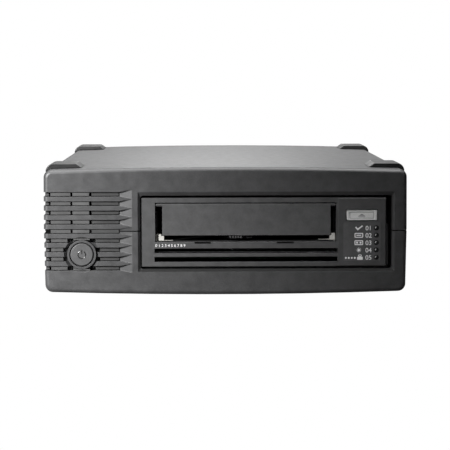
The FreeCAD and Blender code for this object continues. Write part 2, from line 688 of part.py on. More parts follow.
FAN_X = -8.0 * ACROSS
FAN_Z = 41.0
FAN_SIZE = 60.0
FAN_DEPTH = 20.0
FAN_HOLE_R = 29.0
FAN_HUB_R = 13.0
FAN_BLADES = 7
BLADE_THICK = 1.2
BLADE_HALF = 7.4
BLADE_PITCH = 42.0
BLADE_TIP_R = 26.5
FAN_SCREW_PITCH = 50.0
FAN_SHAFT_R = 1.5
INLET_X = -76.0 * ACROSS
INLET_Z = 26.0
INLET_BODY_X = 27.4
INLET_BODY_Z = 20.0
INLET_CAVITY_X = 24.4
INLET_CAVITY_Z = 17.0
INLET_CAVITY_DEPTH = 15.0
INLET_FLANGE = 2.0
PORT_XS = (52.0 * ACROSS, 80.0 * ACROSS)
PORT_Z = 22.0
PORT_BODY_X = 25.0
PORT_BODY_Z = 10.5
PORT_CAVITY_X = 22.0
PORT_CAVITY_Z = 7.4
PORT_DEPTH = 18.0
PORT_PROUD = 2.5
PANEL_CLEAR = 0.3
PANEL_SLOTS = 7
GRILLE_RINGS = 3
GRILLE_RING_PITCH = 5.9
GRILLE_WIRE = 1.4
FAN_FRONT = PANEL_Y - FAN_DEPTH
PANEL_OUT = PANEL_Y + PANEL_SHEET


def make_rear_panel():
    """A sheet panel with a ringed fan grille, air slots and socket cut-outs."""
    sheet = crowned_block(WALL + PANEL_CLEAR, PANEL_Y, PANEL_OUT)
    rings = []
    for ring in range(GRILLE_RINGS):
        inner = FAN_HUB_R - 1.5 + ring * GRILLE_RING_PITCH
        outer = inner + GRILLE_RING_PITCH - GRILLE_WIRE
        start, end = (FAN_X, PANEL_Y - 1, FAN_Z), (FAN_X, PANEL_OUT + 1, FAN_Z)
        rings.append(bar(outer, start, end, ROUND_SIDES).cut(bar(inner, start, end, ROUND_SIDES)))
    spokes = []
    for index in range(2):
        arm = box(-1.4, 1.4, PANEL_Y - 2, PANEL_OUT + 2, -FAN_SIZE, FAN_SIZE)
        arm.rotate(V(0, 0, 0), Y_AXIS, 90 * index + 45)
        spokes.append(arm.translated(V(FAN_X, 0, FAN_Z)))
    pockets = [Part.makeCompound(rings).cut(spokes)]
    half = FAN_SCREW_PITCH / 2
    for x, z in [(FAN_X + dx, FAN_Z + dz) for dx in (-half, half) for dz in (-half, half)]:
        pockets.append(bar(SCREW_R, (x, PANEL_Y - 1, z), (x, PANEL_OUT + 1, z)))
    for x, z in [(side * LUG_X, height) for side in (-1, 1) for height in LUG_HEIGHTS]:
        pockets.append(bar(SCREW_R, (x, PANEL_Y - 1, z), (x, PANEL_OUT + 1, z)))
    pockets.append(panel_window(INLET_X, INLET_Z, INLET_BODY_X, INLET_BODY_Z))
    for x in PORT_XS:
        pockets.append(panel_window(x, PORT_Z, PORT_BODY_X, PORT_BODY_Z))
    for index in range(PANEL_SLOTS):
        x = PORT_XS[0] - 10.0 + index * (PORT_XS[1] - PORT_XS[0] + 20.0) / (PANEL_SLOTS - 1)
        pockets.append(panel_window(x, 54.0, 4.0, 24.0))
    return sheet.cut(pockets)


def panel_window(x, z, width, height):
    """A rectangular hole through the rear panel."""
    return box(x - width / 2, x + width / 2, PANEL_Y - 1, PANEL_OUT + 1, z - height / 2, z + height / 2)


def make_power_inlet():
    """The moulded mains inlet: a flanged shroud open to the rear."""
    flange = soft_box(INLET_X - 16, INLET_X + 16, PANEL_OUT, PANEL_OUT + INLET_FLANGE,
                      INLET_Z - 12.2, INLET_Z + 12.2, 2.0, Y_AXIS)
    body = box(INLET_X - INLET_BODY_X / 2, INLET_X + INLET_BODY_X / 2, PANEL_OUT - 21, PANEL_OUT,
               INLET_Z - INLET_BODY_Z / 2, INLET_Z + INLET_BODY_Z / 2)
    mouth = PANEL_OUT + INLET_FLANGE
    cavity = box(
        INLET_X - INLET_CAVITY_X / 2, INLET_X + INLET_CAVITY_X / 2, mouth - INLET_CAVITY_DEPTH, mouth + 1,
        INLET_Z - INLET_CAVITY_Z / 2, INLET_Z + INLET_CAVITY_Z / 2)

    def top_corner(edge):
        return runs_along(edge, Y_AXIS) and edge.CenterOfMass.z > INLET_Z

    cavity = cavity.makeChamfer(4.0, [edge for edge in cavity.Edges if top_corner(edge)])
    holes = [pin_block(dx, dz) for dx, dz in INLET_PINS]
    return joined([flange, body]).cut([cavity] + holes)


INLET_PINS = [(-7.0, -4.0), (7.0, -4.0), (0.0, 0.0)]


def pin_block(dx, dz):
    """One flat blade of the inlet."""
    x, z = INLET_X + dx, INLET_Z + dz
    return box(x - 1, x + 1, PANEL_OUT - 26, PANEL_OUT + INLET_FLANGE - 2, z - 2, z + 2)


def make_ports():
    """Two shielded interface sockets with a contact tongue each."""
    sockets = []
    for x in PORT_XS:
        shell = box(x - PORT_BODY_X / 2, x + PORT_BODY_X / 2, PANEL_OUT + PORT_PROUD - PORT_DEPTH,
                    PANEL_OUT + PORT_PROUD, PORT_Z - PORT_BODY_Z / 2, PORT_Z + PORT_BODY_Z / 2)
        cavity = box(x - PORT_CAVITY_X / 2, x + PORT_CAVITY_X / 2, PANEL_OUT + PORT_PROUD - PORT_DEPTH + 4,
                     PANEL_OUT + PORT_PROUD + 1, PORT_Z - PORT_CAVITY_Z / 2, PORT_Z + PORT_CAVITY_Z / 2)
        tongue = box(x - 8, x + 8, PANEL_OUT + PORT_PROUD - PORT_DEPTH + 3, PANEL_OUT + PORT_PROUD - 4,
                     PORT_Z - 0.6, PORT_Z + 0.6)
        sockets.append(joined([shell.cut(cavity), tongue]))
    return sockets


def make_fan_frame():
    """A square fan frame with a round duct, a motor cup and four struts."""
    y0, y1 = FAN_FRONT, PANEL_Y
    half = FAN_SIZE / 2
    frame = box(FAN_X - half, FAN_X + half, y0, y1, FAN_Z - half, FAN_Z + half)
    frame = frame.makeChamfer(2.0, [edge for edge in frame.Edges if runs_along(edge, Y_AXIS)])
    frame = frame.cut(bar(FAN_HOLE_R, (FAN_X, y0 - 1, FAN_Z), (FAN_X, y1 + 1, FAN_Z), ROUND_SIDES))
    pieces = [frame]
    pieces.append(bar(FAN_HUB_R, (FAN_X, y0, FAN_Z), (FAN_X, y0 + 2, FAN_Z), 24))
    for index in range(4):
        strut = box(FAN_HUB_R - 1, FAN_HOLE_R + 0.5, y0, y0 + 2, -1.6, 1.6)
        strut.rotate(V(0, 0, 0), Y_AXIS, 90 * index + 45)
        pieces.append(strut.translated(V(FAN_X, 0, FAN_Z)))
    pieces.append(rod(FAN_SHAFT_R, (FAN_X, y0 + 1, FAN_Z), (FAN_X, y1 - 4, FAN_Z)))
    body = joined(pieces)
    pitch = FAN_SCREW_PITCH / 2
    holes = []
    for dx in (-pitch, pitch):
        for dz in (-pitch, pitch):
            holes.append(bar(SCREW_R, (FAN_X + dx, y0 - 1, FAN_Z + dz), (FAN_X + dx, y1 + 1, FAN_Z + dz)))
    return body.cut(holes)


def make_fan_rotor():
    """A hub cap with pitched blades that turns on the frame's shaft."""
    y0, y1 = FAN_FRONT + 3.0, PANEL_Y - 2.0
    hub = bar(FAN_HUB_R, (0, y0, 0), (0, y1, 0), ROUND_SIDES)
    hub = hub.makeChamfer(0.8, [edge for edge in hub.Edges if edge.BoundBox.YMin > y1 - 0.01])
    pieces = [hub]
    middle = (y0 + y1) / 2
    for index in range(FAN_BLADES):
        blade = box(-BLADE_THICK / 2, BLADE_THICK / 2, -BLADE_HALF, BLADE_HALF, FAN_HUB_R - 1.5, BLADE_TIP_R)
        blade.rotate(V(0, 0, 0), Z_AXIS, BLADE_PITCH)
        blade.translate(V(0, middle, 0))
        blade.rotate(V(0, 0, 0), Y_AXIS, index * 360.0 / FAN_BLADES)
        pieces.append(blade)
    rotor = joined(pieces)
    rotor = rotor.cut(rod(FAN_SHAFT_R + SHAFT_GAP, (0, y0 - 1, 0), (0, y1 - 1.6, 0)))
    rotor.translate(V(FAN_X, 0, FAN_Z))
    return rotor


save("rear_panel", make_rear_panel())
save("power_inlet", make_power_inlet())
save("inlet_pins", group([pin_block(dx, dz) for dx, dz in INLET_PINS]))
save("interface_sockets", group(make_ports()))
save("fan_frame", make_fan_frame())
save("fan_rotor", make_fan_rotor())
head_out = (0, 1.6, 0)
panel_screws = [screw(2.8, (side * LUG_X, PANEL_OUT, height), head_out, 7.0 + PANEL_SHEET)
                for side in (-1, 1) for height in LUG_HEIGHTS]
save("rear_panel_screws", group(panel_screws))
fan_half = FAN_SCREW_PITCH / 2
fan_screws = [screw(3.2, (FAN_X + dx, PANEL_OUT, FAN_Z + dz), head_out, 12.0 + PANEL_SHEET)
              for dx in (-fan_half, fan_half) for dz in (-fan_half, fan_half)]
save("fan_screws", group(fan_screws))

# -------------------------------------------------------- drive: front end

PLATE = 2.4
BEZEL_DEPTH = 9.5
BEZEL_WALL = 1.6
LEFT_STEP = 0.5
CARTRIDGE_WIDTH = 105.4 * ACROSS
SLOT_WIDTH = CARTRIDGE_WIDTH + 3.6
SLOT_X = 12.2 * ACROSS
SLOT_BOTTOM = DRIVE_BOTTOM + 14.8
SLOT_LEFT = SLOT_X - SLOT_WIDTH / 2
SLOT_RIGHT = SLOT_X + SLOT_WIDTH / 2
SLOT_TOP = DRIVE_TOP - 2.9
STEP_X = SLOT_RIGHT + 1.1
LIP_NOTCHES = ((SLOT_X - 30.9, SLOT_X - 20.9), (SLOT_X + 18.6, SLOT_X + 29.0))
LIP_NOTCH_DEPTH = 1.0
AIR_SLOTS = ((DRIVE_BOTTOM + 2.8, DRIVE_BOTTOM + 5.8), (DRIVE_BOTTOM + 8.0, DRIVE_BOTTOM + 10.9))
AIR_SLOT_X = (SLOT_LEFT - 0.4, SLOT_RIGHT + 0.8)
EJECT_X = (SLOT_RIGHT + 6.2, DRIVE_RIGHT - 5.6)
EJECT_Z = (DRIVE_TOP - 13.6, DRIVE_TOP - 7.8)
EJECT_MID_X = (EJECT_X[0] + EJECT_X[1]) / 2
EJECT_MID_Z = (EJECT_Z[0] + EJECT_Z[1]) / 2
EJECT_GAP = 0.5
EJECT_TRAVEL = 1.2
EJECT_PROUD = 0.4
EJECT_RIM = 1.2
LAMP_COUNT = 5
LAMP_X = DRIVE_RIGHT - 5.8
LAMP_TOP_Z = DRIVE_BOTTOM + 23.05
LAMP_PITCH = 4.45 * DRIVE_HEIGHT / 41.4
LAMP_HOLE_R = 1.55
LAMP_R = 1.1
LAMP_SIDES = 12
GUIDE_WIDTH = 1.4
GUIDE_RISE = 4.2
DOOR_THICK = 2.2
DOOR_GAP = 0.7
DOOR_FLAP_X = (SLOT_LEFT + 4.3, SLOT_RIGHT - 3.4)
DOOR_BOTTOM = SLOT_BOTTOM + 3.9
DOOR_EAR_Z = SLOT_TOP - 1.65
DOOR_SETBACK = 1.4
DOOR_PIN_R = 0.5
DOOR_COMB_X = (SLOT_X - 9.7, SLOT_X - 1.7)
DOOR_SPRING_X = SLOT_X + 27.8
DOOR_SPRING_WIRE = 0.2
DOOR_SPRING_HALF = 1.4
PLATE_BACK = DRIVE_FRONT + PLATE
BEZEL_BACK = DRIVE_FRONT + BEZEL_DEPTH
DOOR_Y = DRIVE_FRONT + DOOR_SETBACK + DOOR_THICK / 2
DOOR_AXIS_Z = SLOT_TOP - RUN_GAP - DOOR_THICK / 2
FRONT_BOARD_Y = DRIVE_FRONT + 11.0
FRONT_BOARD_SHEET = 1.2
EJECT_TIP_Y = FRONT_BOARD_Y - 3.0


def lamp_heights():
    """The heights of the indicator lamps, from the top."""
    return [LAMP_TOP_Z - index * LAMP_PITCH for index in range(LAMP_COUNT)]


def make_drive_bezel():
    """The moulded front of the drive: a plate with a rim and a lined cartridge slot."""
    plate_block = box(DRIVE_LEFT, DRIVE_RIGHT, DRIVE_FRONT, BEZEL_BACK, DRIVE_BOTTOM, DRIVE_TOP)
    plate_block = rounded(plate_block, 0.7, lambda edge: edge.BoundBox.YMax < DRIVE_FRONT + 0.01)
    step_back = DRIVE_FRONT + LEFT_STEP
    step = box(DRIVE_LEFT - 1, STEP_X, DRIVE_FRONT - 1, step_back, DRIVE_BOTTOM - 1, DRIVE_TOP + 1)
    hollow = box(
        DRIVE_LEFT + BEZEL_WALL, DRIVE_RIGHT - BEZEL_WALL, PLATE_BACK, BEZEL_BACK + 1,
        DRIVE_BOTTOM + BEZEL_WALL, DRIVE_TOP - BEZEL_WALL)
    lining = box(
        SLOT_LEFT - BEZEL_WALL, SLOT_RIGHT + BEZEL_WALL, PLATE_BACK - 1, BEZEL_BACK,
        SLOT_BOTTOM - 1.2, SLOT_TOP + 1.2)
    bezel = joined([plate_block.cut([step, hollow]), lining])
    cuts = [box(SLOT_LEFT, SLOT_RIGHT, DRIVE_FRONT - 1, BEZEL_BACK + 1, SLOT_BOTTOM, SLOT_TOP)]
    for x0, x1 in LIP_NOTCHES:
        cuts.append(box(x0, x1, DRIVE_FRONT - 1, PLATE_BACK, SLOT_BOTTOM - LIP_NOTCH_DEPTH, SLOT_BOTTOM + 1))
    for z0, z1 in AIR_SLOTS:
        cuts.append(box(AIR_SLOT_X[0], AIR_SLOT_X[1], DRIVE_FRONT - 1, BEZEL_BACK + 1, z0, z1))
    cuts.append(soft_box(
        EJECT_X[0] - EJECT_GAP, EJECT_X[1] + EJECT_GAP, DRIVE_FRONT - 1, PLATE_BACK + 1,
        EJECT_Z[0] - EJECT_GAP, EJECT_Z[1] + EJECT_GAP, 1.0, Y_AXIS))
    for z in lamp_heights():
        mouth, throat = (LAMP_X, DRIVE_FRONT - 1, z), (LAMP_X, DRIVE_FRONT + 1.2, z)
        cuts.append(bar(LAMP_HOLE_R, mouth, throat, LAMP_SIDES))
        cuts.append(bar(LAMP_R, (LAMP_X, DRIVE_FRONT, z), (LAMP_X, PLATE_BACK + 1, z), LAMP_SIDES))
    cuts.append(door_pin())
    return bezel.cut(cuts)


def door_pin():
    """The long pin that the door turns on, held in the slot's lining."""
    left, right = SLOT_LEFT - BEZEL_WALL, SLOT_RIGHT + BEZEL_WALL
    return rod(DOOR_PIN_R, (left, DOOR_Y, DOOR_AXIS_Z), (right, DOOR_Y, DOOR_AXIS_Z))


def make_cartridge_door():
    """The flap over the cartridge slot, with a rolled top edge on its pin."""
    y0, y1 = DOOR_Y - DOOR_THICK / 2, DOOR_Y + DOOR_THICK / 2
    left, right = SLOT_LEFT + DOOR_GAP, SLOT_RIGHT - DOOR_GAP
    flap = box(DOOR_FLAP_X[0], DOOR_FLAP_X[1], y0, y1, DOOR_BOTTOM, DOOR_AXIS_Z)
    ears = box(left, right, y0, y1, DOOR_EAR_Z, DOOR_AXIS_Z)
    roll = rod(DOOR_THICK / 2, (left, DOOR_Y, DOOR_AXIS_Z), (right, DOOR_Y, DOOR_AXIS_Z))
    pieces = [flap, ears, roll]
    count = 5
    pitch = (DOOR_COMB_X[1] - DOOR_COMB_X[0]) / count
    for index in range(count):
        x = DOOR_COMB_X[0] + index * pitch
        pieces.append(box(x, x + pitch * 0.55, DOOR_Y, y1, DOOR_BOTTOM - 1.8, DOOR_BOTTOM + 1))
    door = joined(pieces)
    bore = rod(DOOR_PIN_R + SHAFT_GAP, (left - 1, DOOR_Y, DOOR_AXIS_Z), (right + 1, DOOR_Y, DOOR_AXIS_Z))
    coil_room = DOOR_SPRING_HALF + 0.8
    spring_notch = box(
        DOOR_SPRING_X - coil_room, DOOR_SPRING_X + coil_room, DOOR_Y - DOOR_COIL_R - 0.1, y1 + 1,
        DOOR_AXIS_Z - 1.4, DOOR_AXIS_Z + 2)
    return door.cut([bore, spring_notch])


DOOR_COIL_R = DOOR_PIN_R + SHAFT_GAP + DOOR_SPRING_WIRE


def make_door_spring():
    """A small wound spring on the pin, with one leg down the back of the door."""
    x0, x1 = DOOR_SPRING_X - DOOR_SPRING_HALF, DOOR_SPRING_X + DOOR_SPRING_HALF
    wire = DOOR_SPRING_WIRE
    coil = tube(DOOR_COIL_R, DOOR_PIN_R + SHAFT_GAP, (x0, DOOR_Y, DOOR_AXIS_Z), (x1, DOOR_Y, DOOR_AXIS_Z))
    back = DOOR_Y + DOOR_THICK / 2 + wire + SHAFT_GAP
    leg_x = x1 - wire
    leg = box(leg_x - wire, leg_x + wire, back - wire, back + wire, DOOR_AXIS_Z - 7, DOOR_AXIS_Z + wire)
    heel_y = DOOR_Y + DOOR_COIL_R - wire / 2
    heel = box(leg_x - wire, leg_x + wire, heel_y, back, DOOR_AXIS_Z - wire, DOOR_AXIS_Z + wire)
    return joined([coil, leg, heel])


def make_eject_button():
    """A rectangular key with a raised rim, a flange and a stem."""
    flange_y = PLATE_BACK + RUN_GAP
    face_y = DRIVE_FRONT - EJECT_PROUD
    cap = soft_box(EJECT_X[0], EJECT_X[1], face_y, flange_y, EJECT_Z[0], EJECT_Z[1], 0.6, Y_AXIS)
    dish = box(
        EJECT_X[0] + EJECT_RIM, EJECT_X[1] - EJECT_RIM, face_y - 1, face_y + 0.4,
        EJECT_Z[0] + EJECT_RIM / 2, EJECT_Z[1] - EJECT_RIM / 2)
    flange = box(
        EJECT_X[0] - 1.2, EJECT_X[1] + 1.2, flange_y, flange_y + 1, EJECT_Z[0] - 1.2, EJECT_Z[1] + 1.2)
    stem_end = EJECT_TIP_Y - EJECT_TRAVEL - RUN_GAP
    stem = box(
        EJECT_MID_X - 2, EJECT_MID_X + 2, flange_y + 1, stem_end, EJECT_MID_Z - 1.5, EJECT_MID_Z + 1.5)
    return joined([cap.cut(dish), flange, stem])


def make_front_board():
    """The narrow board behind the keys and lamps."""
    y0, y1 = FRONT_BOARD_Y, FRONT_BOARD_Y + FRONT_BOARD_SHEET
    board = box(EJECT_X[0] - 1.9, DRIVE_RIGHT - 3.6, y0, y1, DRIVE_BOTTOM + 1.9, SLOT_TOP - 3.4)
    switch = box(EJECT_MID_X - 3, EJECT_MID_X + 3, EJECT_TIP_Y + 1, y0, EJECT_MID_Z - 3, EJECT_MID_Z + 3)
    tip = bar(1.6, (EJECT_MID_X, EJECT_TIP_Y, EJECT_MID_Z), (EJECT_MID_X, EJECT_TIP_Y + 1, EJECT_MID_Z))
    lamps = [box(LAMP_X - 1.2, LAMP_X + 1.2, y0 - 1, y0, z - 0.8, z + 0.8) for z in lamp_heights()]
    return joined([board, switch, tip] + lamps)


def lamp_lens(z):
    """One light pipe with a bevelled tip just inside its hole."""
    tip_y = DRIVE_FRONT + 0.5
    lens = bar(LAMP_R, (LAMP_X, tip_y, z), (LAMP_X, FRONT_BOARD_Y - 1, z), LAMP_SIDES)
    return lens.makeChamfer(LAMP_R * 0.4, [edge for edge in lens.Edges if edge.BoundBox.YMax < tip_y + 0.01])


def cartridge_guide(side):
    """A pale upright nub that steers the cartridge's lower corner."""
    wall = SLOT_LEFT if side < 0 else SLOT_RIGHT
    inner = wall - side * GUIDE_WIDTH
    x0, x1 = min(wall, inner), max(wall, inner)
    top = SLOT_BOTTOM + GUIDE_RISE
    guide = box(x0, x1, DOOR_Y + DOOR_THICK + 0.3, BEZEL_BACK, SLOT_BOTTOM, top)
    return guide.makeChamfer(0.6, [edge for edge in guide.Edges if edge.BoundBox.ZMin > top - 0.1 and
                                   edge.BoundBox.YLength < 0.01])


save("drive_bezel", make_drive_bezel())
save("cartridge_door", make_cartridge_door())
save("door_pin", door_pin())
save("door_spring", make_door_spring())
save("eject_button", make_eject_button())
save("front_board", make_front_board())
save("lamp_lenses", group([lamp_lens(z) for z in lamp_heights()]))
save("cartridge_guides", group([cartridge_guide(side) for side in (-1, 1)]))

# ----------------------------------------------- drive: chassis and covers

COVER_SHEET = 0.8
COVER_TOP = 1.0
SKIRT = 12.0
COVER_VENTS = 8
MAIN_CHIPS = ((-10, -60, 24), (30, -60, 24), (10, -20, 17), (60, 10, 14), (-20, 20, 14), (70, -60, 12))
CHASSIS_WALL = 1.8
BASE_Z = DRIVE_BOTTOM + 5.1
BASE_THICK = 2.5
BASE_TOP = BASE_Z + BASE_THICK
CHASSIS_LEFT = DRIVE_LEFT + COVER_SHEET
CHASSIS_RIGHT = DRIVE_RIGHT - COVER_SHEET
CHASSIS_FRONT = BEZEL_BACK
CHASSIS_TOP = DRIVE_TOP - COVER_TOP
SIDE_SCREW_YS = (-100.0 * ALONG, 40.0 * ALONG)
SIDE_SCREW_Z = DRIVE_BOTTOM + 13.1
MAIN_BOARD_Z = DRIVE_BOTTOM + 0.7
BOARD_POST_PLACES = ((-42.0, -98.0), (86.0, -98.0), (-42.0, 52.0), (40.0, 52.0))
BOARD_POSTS = [(x * ACROSS, y * ALONG) for x, y in BOARD_POST_PLACES]
CONNECTOR_X = (60.0 * ACROSS, 88.0 * ACROSS)
DC_CONNECTOR_X = (-30.0 * ACROSS, -14.0 * ACROSS)
CONNECTOR_Z = (MAIN_BOARD_Z + BOARD_SHEET, DRIVE_BOTTOM + 11.6)
DRIVE_BACK_WALL = 1.8

CARTRIDGE_SLIDE = 18.0
HUB_X = SLOT_X
HUB_Y = -83.5 * ALONG
HUB_R = 16.0
HUB_TOP = SLOT_BOTTOM - 1.3
REEL_X = 0.0
REEL_Y = 16.0 * ALONG
REEL_R = 43.0
REEL_HUB_R = 20.0
REEL_WINDOWS = 3
REEL_WINDOW_ARC = 50.0
REEL_Z0 = BASE_TOP + 8.0
REEL_Z1 = DRIVE_TOP - 9.6
FLANGE = 1.2
ROLLER_R = 4.5
ROLLER_POST_R = 1.5
ROLLER_SIDES = 16
ROLLERS = [(x * ACROSS, y * ALONG) for x, y in ((62.0, -21.0), (70.0, -12.0), (70.0, 16.0), (60.0, 28.0))]
HEAD_X0, HEAD_X1 = 73.0 * ACROSS, 88.0 * ACROSS
HEAD_Y = 2.0 * ALONG
HEAD_HALF_Y = 13.0
HEAD_TRAVEL = 4.0
RAIL_X = HEAD_X1 - 5.0
RAIL_R = 1.5
RAIL_HALF_Y = 9.0
ARM_X, ARM_Y = 69.0 * ACROSS, 45.5 * ALONG
ARM_TIP = (60.0 * ACROSS, -29.0 * ALONG)
ARM_Z = REEL_Z1 + 2.5
ARM_THICK = 2.0
ARM_HALF = 3.0
THREADER_TOP = ARM_Z - 3.2
CARRIAGE_Z = BASE_TOP + 0.7
CARRIAGE_RISE = DRIVE_HEIGHT - 19.4
SCREW_AXIS_X = 78.0 * ACROSS
SCREW_AXIS_Z = BASE_TOP + 8.0
LEAD_R = 2.0
RAIL_RIB = 0.4
TRAY_LEFT = SLOT_X - CARTRIDGE_WIDTH / 2 - 1.7
TRAY_RIGHT = SLOT_X + CARTRIDGE_WIDTH / 2 + 1.7
TRAY_SHEET = 1.0
TRAY_FRONT = FRONT + 14.0
TRAY_REAR = -48.0 * ALONG
TRAY_FLOOR = SLOT_BOTTOM
CARRIAGE_SHEET = 1.6
MOTOR_R = 7.0
MOTOR_Y0, MOTOR_Y1 = -104.0 * ALONG, -78.0 * ALONG
LEAD_END = -28.0 * ALONG
NUT_Y0, NUT_Y1 = -68.0 * ALONG, -60.0 * ALONG
CARRIAGE_REAR = TRAY_REAR + 1.5
CRADLE_WALL_TOP = DRIVE_Z + 4.4
CRADLE_WINDOWS = 4


def on_screw_axis(maker, radius, y0, y1):
    """A round piece of the loading drive, on the lead screw's axis."""
    return maker(radius, (SCREW_AXIS_X, y0, SCREW_AXIS_Z), (SCREW_AXIS_X, y1, SCREW_AXIS_Z))


def make_drive_chassis():
    """The cast base of the drive with side walls, rails, posts and bearing blocks."""
    x0, x1, y0, y1 = CHASSIS_LEFT, CHASSIS_RIGHT, CHASSIS_FRONT, DRIVE_REAR - 1
    base = box(x0, x1, y0 + 5, y1, BASE_Z, BASE_TOP)
    left = box(x0, x0 + CHASSIS_WALL, y0, y1, DRIVE_BOTTOM, CHASSIS_TOP)
    right = box(x1 - CHASSIS_WALL, x1, y0, y1, DRIVE_BOTTOM, CHASSIS_TOP)
    back = box(x0, x1, y1 - DRIVE_BACK_WALL, y1, DRIVE_BOTTOM, CHASSIS_TOP)
    pieces = [base, left, right, back]
    for x, y in BOARD_POSTS:
        pieces.append(bar(3, (x, y, MAIN_BOARD_Z + BOARD_SHEET), (x, y, BASE_Z)))
    for x0, x1 in ((TRAY_LEFT - 4.2, TRAY_LEFT - 0.6), (TRAY_RIGHT + 0.6, TRAY_RIGHT + 4.2)):
        pieces.append(box(x0, x1, TRAY_FRONT + 4, TRAY_REAR + 21, BASE_TOP, BASE_TOP + RAIL_RIB))
    bearing = box(SCREW_AXIS_X - 5, SCREW_AXIS_X + 5, LEAD_END - 3, LEAD_END, BASE_TOP, SCREW_AXIS_Z + 4)
    saddle = box(SCREW_AXIS_X - 6, SCREW_AXIS_X + 6, MOTOR_Y0 + 4, MOTOR_Y1 - 4, BASE_TOP, SCREW_AXIS_Z)
    pieces.extend([bearing, saddle])
    for x, y in ROLLERS:
        pieces.append(bar(ROLLER_R - 0.7, (x, y, BASE_TOP), (x, y, REEL_Z0 - RUN_GAP)))
    chassis = joined(pieces)
    cuts = [on_screw_axis(rod, MOTOR_R, MOTOR_Y0 - 1, MOTOR_Y1 + 1)]
    cuts.append(on_screw_axis(rod, LEAD_R + SHAFT_GAP, LEAD_END - 4, LEAD_END + 1))
    for x, y in ROLLERS:
        cuts.append(rod(ROLLER_POST_R, (x, y, BASE_TOP - 1), (x, y, REEL_Z0)))
    for x0, x1 in (CONNECTOR_X, DC_CONNECTOR_X):
        cuts.append(box(
            x0 - 0.5, x1 + 0.5, DRIVE_REAR - 12, DRIVE_REAR + 1, DRIVE_BOTTOM - 1, CONNECTOR_Z[1] + 0.5))
    for y in SIDE_SCREW_YS:
        cuts.append(bar(SCREW_R, (CHASSIS_LEFT - 1, y, SIDE_SCREW_Z), (CHASSIS_LEFT + 3, y, SIDE_SCREW_Z)))
        cuts.append(bar(SCREW_R, (CHASSIS_RIGHT - 3, y, SIDE_SCREW_Z), (CHASSIS_RIGHT + 1, y, SIDE_SCREW_Z)))
    for y in (HEAD_Y - RAIL_HALF_Y, HEAD_Y + RAIL_HALF_Y):
        cuts.append(rod(RAIL_R, (RAIL_X, y, BASE_TOP - 1.5), (RAIL_X, y, BASE_TOP + 1)))
    return chassis.cut(cuts)


def make_drive_cover():
    """A folded steel lid with skirts outside the chassis walls."""
    top = box(DRIVE_LEFT, DRIVE_RIGHT, CHASSIS_FRONT, DRIVE_REAR, CHASSIS_TOP, DRIVE_TOP)
    left = box(DRIVE_LEFT, CHASSIS_LEFT, CHASSIS_FRONT, DRIVE_REAR, DRIVE_TOP - SKIRT, DRIVE_TOP)
    right = box(CHASSIS_RIGHT, DRIVE_RIGHT, CHASSIS_FRONT, DRIVE_REAR, DRIVE_TOP - SKIRT, DRIVE_TOP)
    back = box(DRIVE_LEFT, DRIVE_RIGHT, DRIVE_REAR - COVER_SHEET, DRIVE_REAR, DRIVE_TOP - SKIRT, DRIVE_TOP)
    lid = joined([top, left, right, back])
    vents = []
    pitch = (DRIVE_WIDTH - 28) / COVER_VENTS
    for row in range(2):
        for index in range(COVER_VENTS):
            x = DRIVE_LEFT + 16 + index * pitch
            y = DRIVE_REAR - 30 - row * 9
            vents.append(box(x, x + pitch * 0.65, y, y + 3, CHASSIS_TOP - 1, DRIVE_TOP + 1))
    return lid.cut(vents)


def make_main_board():
    """The drive's main board under the base, with its processors."""
    top = MAIN_BOARD_Z + BOARD_SHEET
    board = box(CHASSIS_LEFT + 3, CHASSIS_RIGHT - 3, FRONT + 36, DRIVE_REAR - 3.5, MAIN_BOARD_Z, top)
    chips = []
    for x, y, side in MAIN_CHIPS:
        chips.append(box(x * ACROSS, x * ACROSS + side, y * ALONG, y * ALONG + side, top, top + 1.6))
    return joined([board] + chips)


def make_drive_connectors():
    """The data and power connectors at the drive's rear edge."""
    y0, y1 = DRIVE_REAR - 11, DRIVE_REAR
    z0, z1 = CONNECTOR_Z
    data = box(CONNECTOR_X[0], CONNECTOR_X[1], y0, y1, z0, z1)
    power = box(DC_CONNECTOR_X[0], DC_CONNECTOR_X[1], y0, y1, z0, z1)
    return group([data, power])


def make_cradle():
    """The bent sheet that carries the drive on the lower half's posts."""
    y0, y1 = FRONT + OPENING_RETURN + 0.5, DRIVE_REAR - 2
    floor = box(DRIVE_LEFT - CRADLE_SHEET, DRIVE_RIGHT + CRADLE_SHEET, y0, y1, CRADLE_UNDER, DRIVE_BOTTOM)
    left = box(DRIVE_LEFT - CRADLE_SHEET, DRIVE_LEFT, y0, y1, CRADLE_UNDER, CRADLE_WALL_TOP)
    right = box(DRIVE_RIGHT, DRIVE_RIGHT + CRADLE_SHEET, y0, y1, CRADLE_UNDER, CRADLE_WALL_TOP)
    lip_y = FRONT + WALL + 0.5
    lip = box(DRIVE_RIGHT, DRIVE_RIGHT + CRADLE_SHEET, lip_y, y0 + 2, DRIVE_BOTTOM + 1, CRADLE_WALL_TOP)
    cradle = joined([floor, left, right, lip])
    cuts = []
    for x, y in CRADLE_POSTS:
        cuts.append(bar(SCREW_R, (x, y, CRADLE_UNDER - 1), (x, y, DRIVE_BOTTOM + 1)))
    for y in SIDE_SCREW_YS:
        cuts.append(bar(SCREW_R, (DRIVE_LEFT - 3, y, SIDE_SCREW_Z), (DRIVE_LEFT + 1, y, SIDE_SCREW_Z)))
        cuts.append(bar(SCREW_R, (DRIVE_RIGHT - 1, y, SIDE_SCREW_Z), (DRIVE_RIGHT + 3, y, SIDE_SCREW_Z)))
    pitch = (y1 - y0 - 60) / CRADLE_WINDOWS
    for index in range(CRADLE_WINDOWS):
        y = y0 + 50 + index * pitch
        x0, x1 = DRIVE_LEFT + 20, DRIVE_RIGHT - 20
        cuts.append(box(x0, x1, y, y + pitch * 0.6, CRADLE_UNDER - 1, DRIVE_BOTTOM + 1))
    return cradle.cut(cuts)


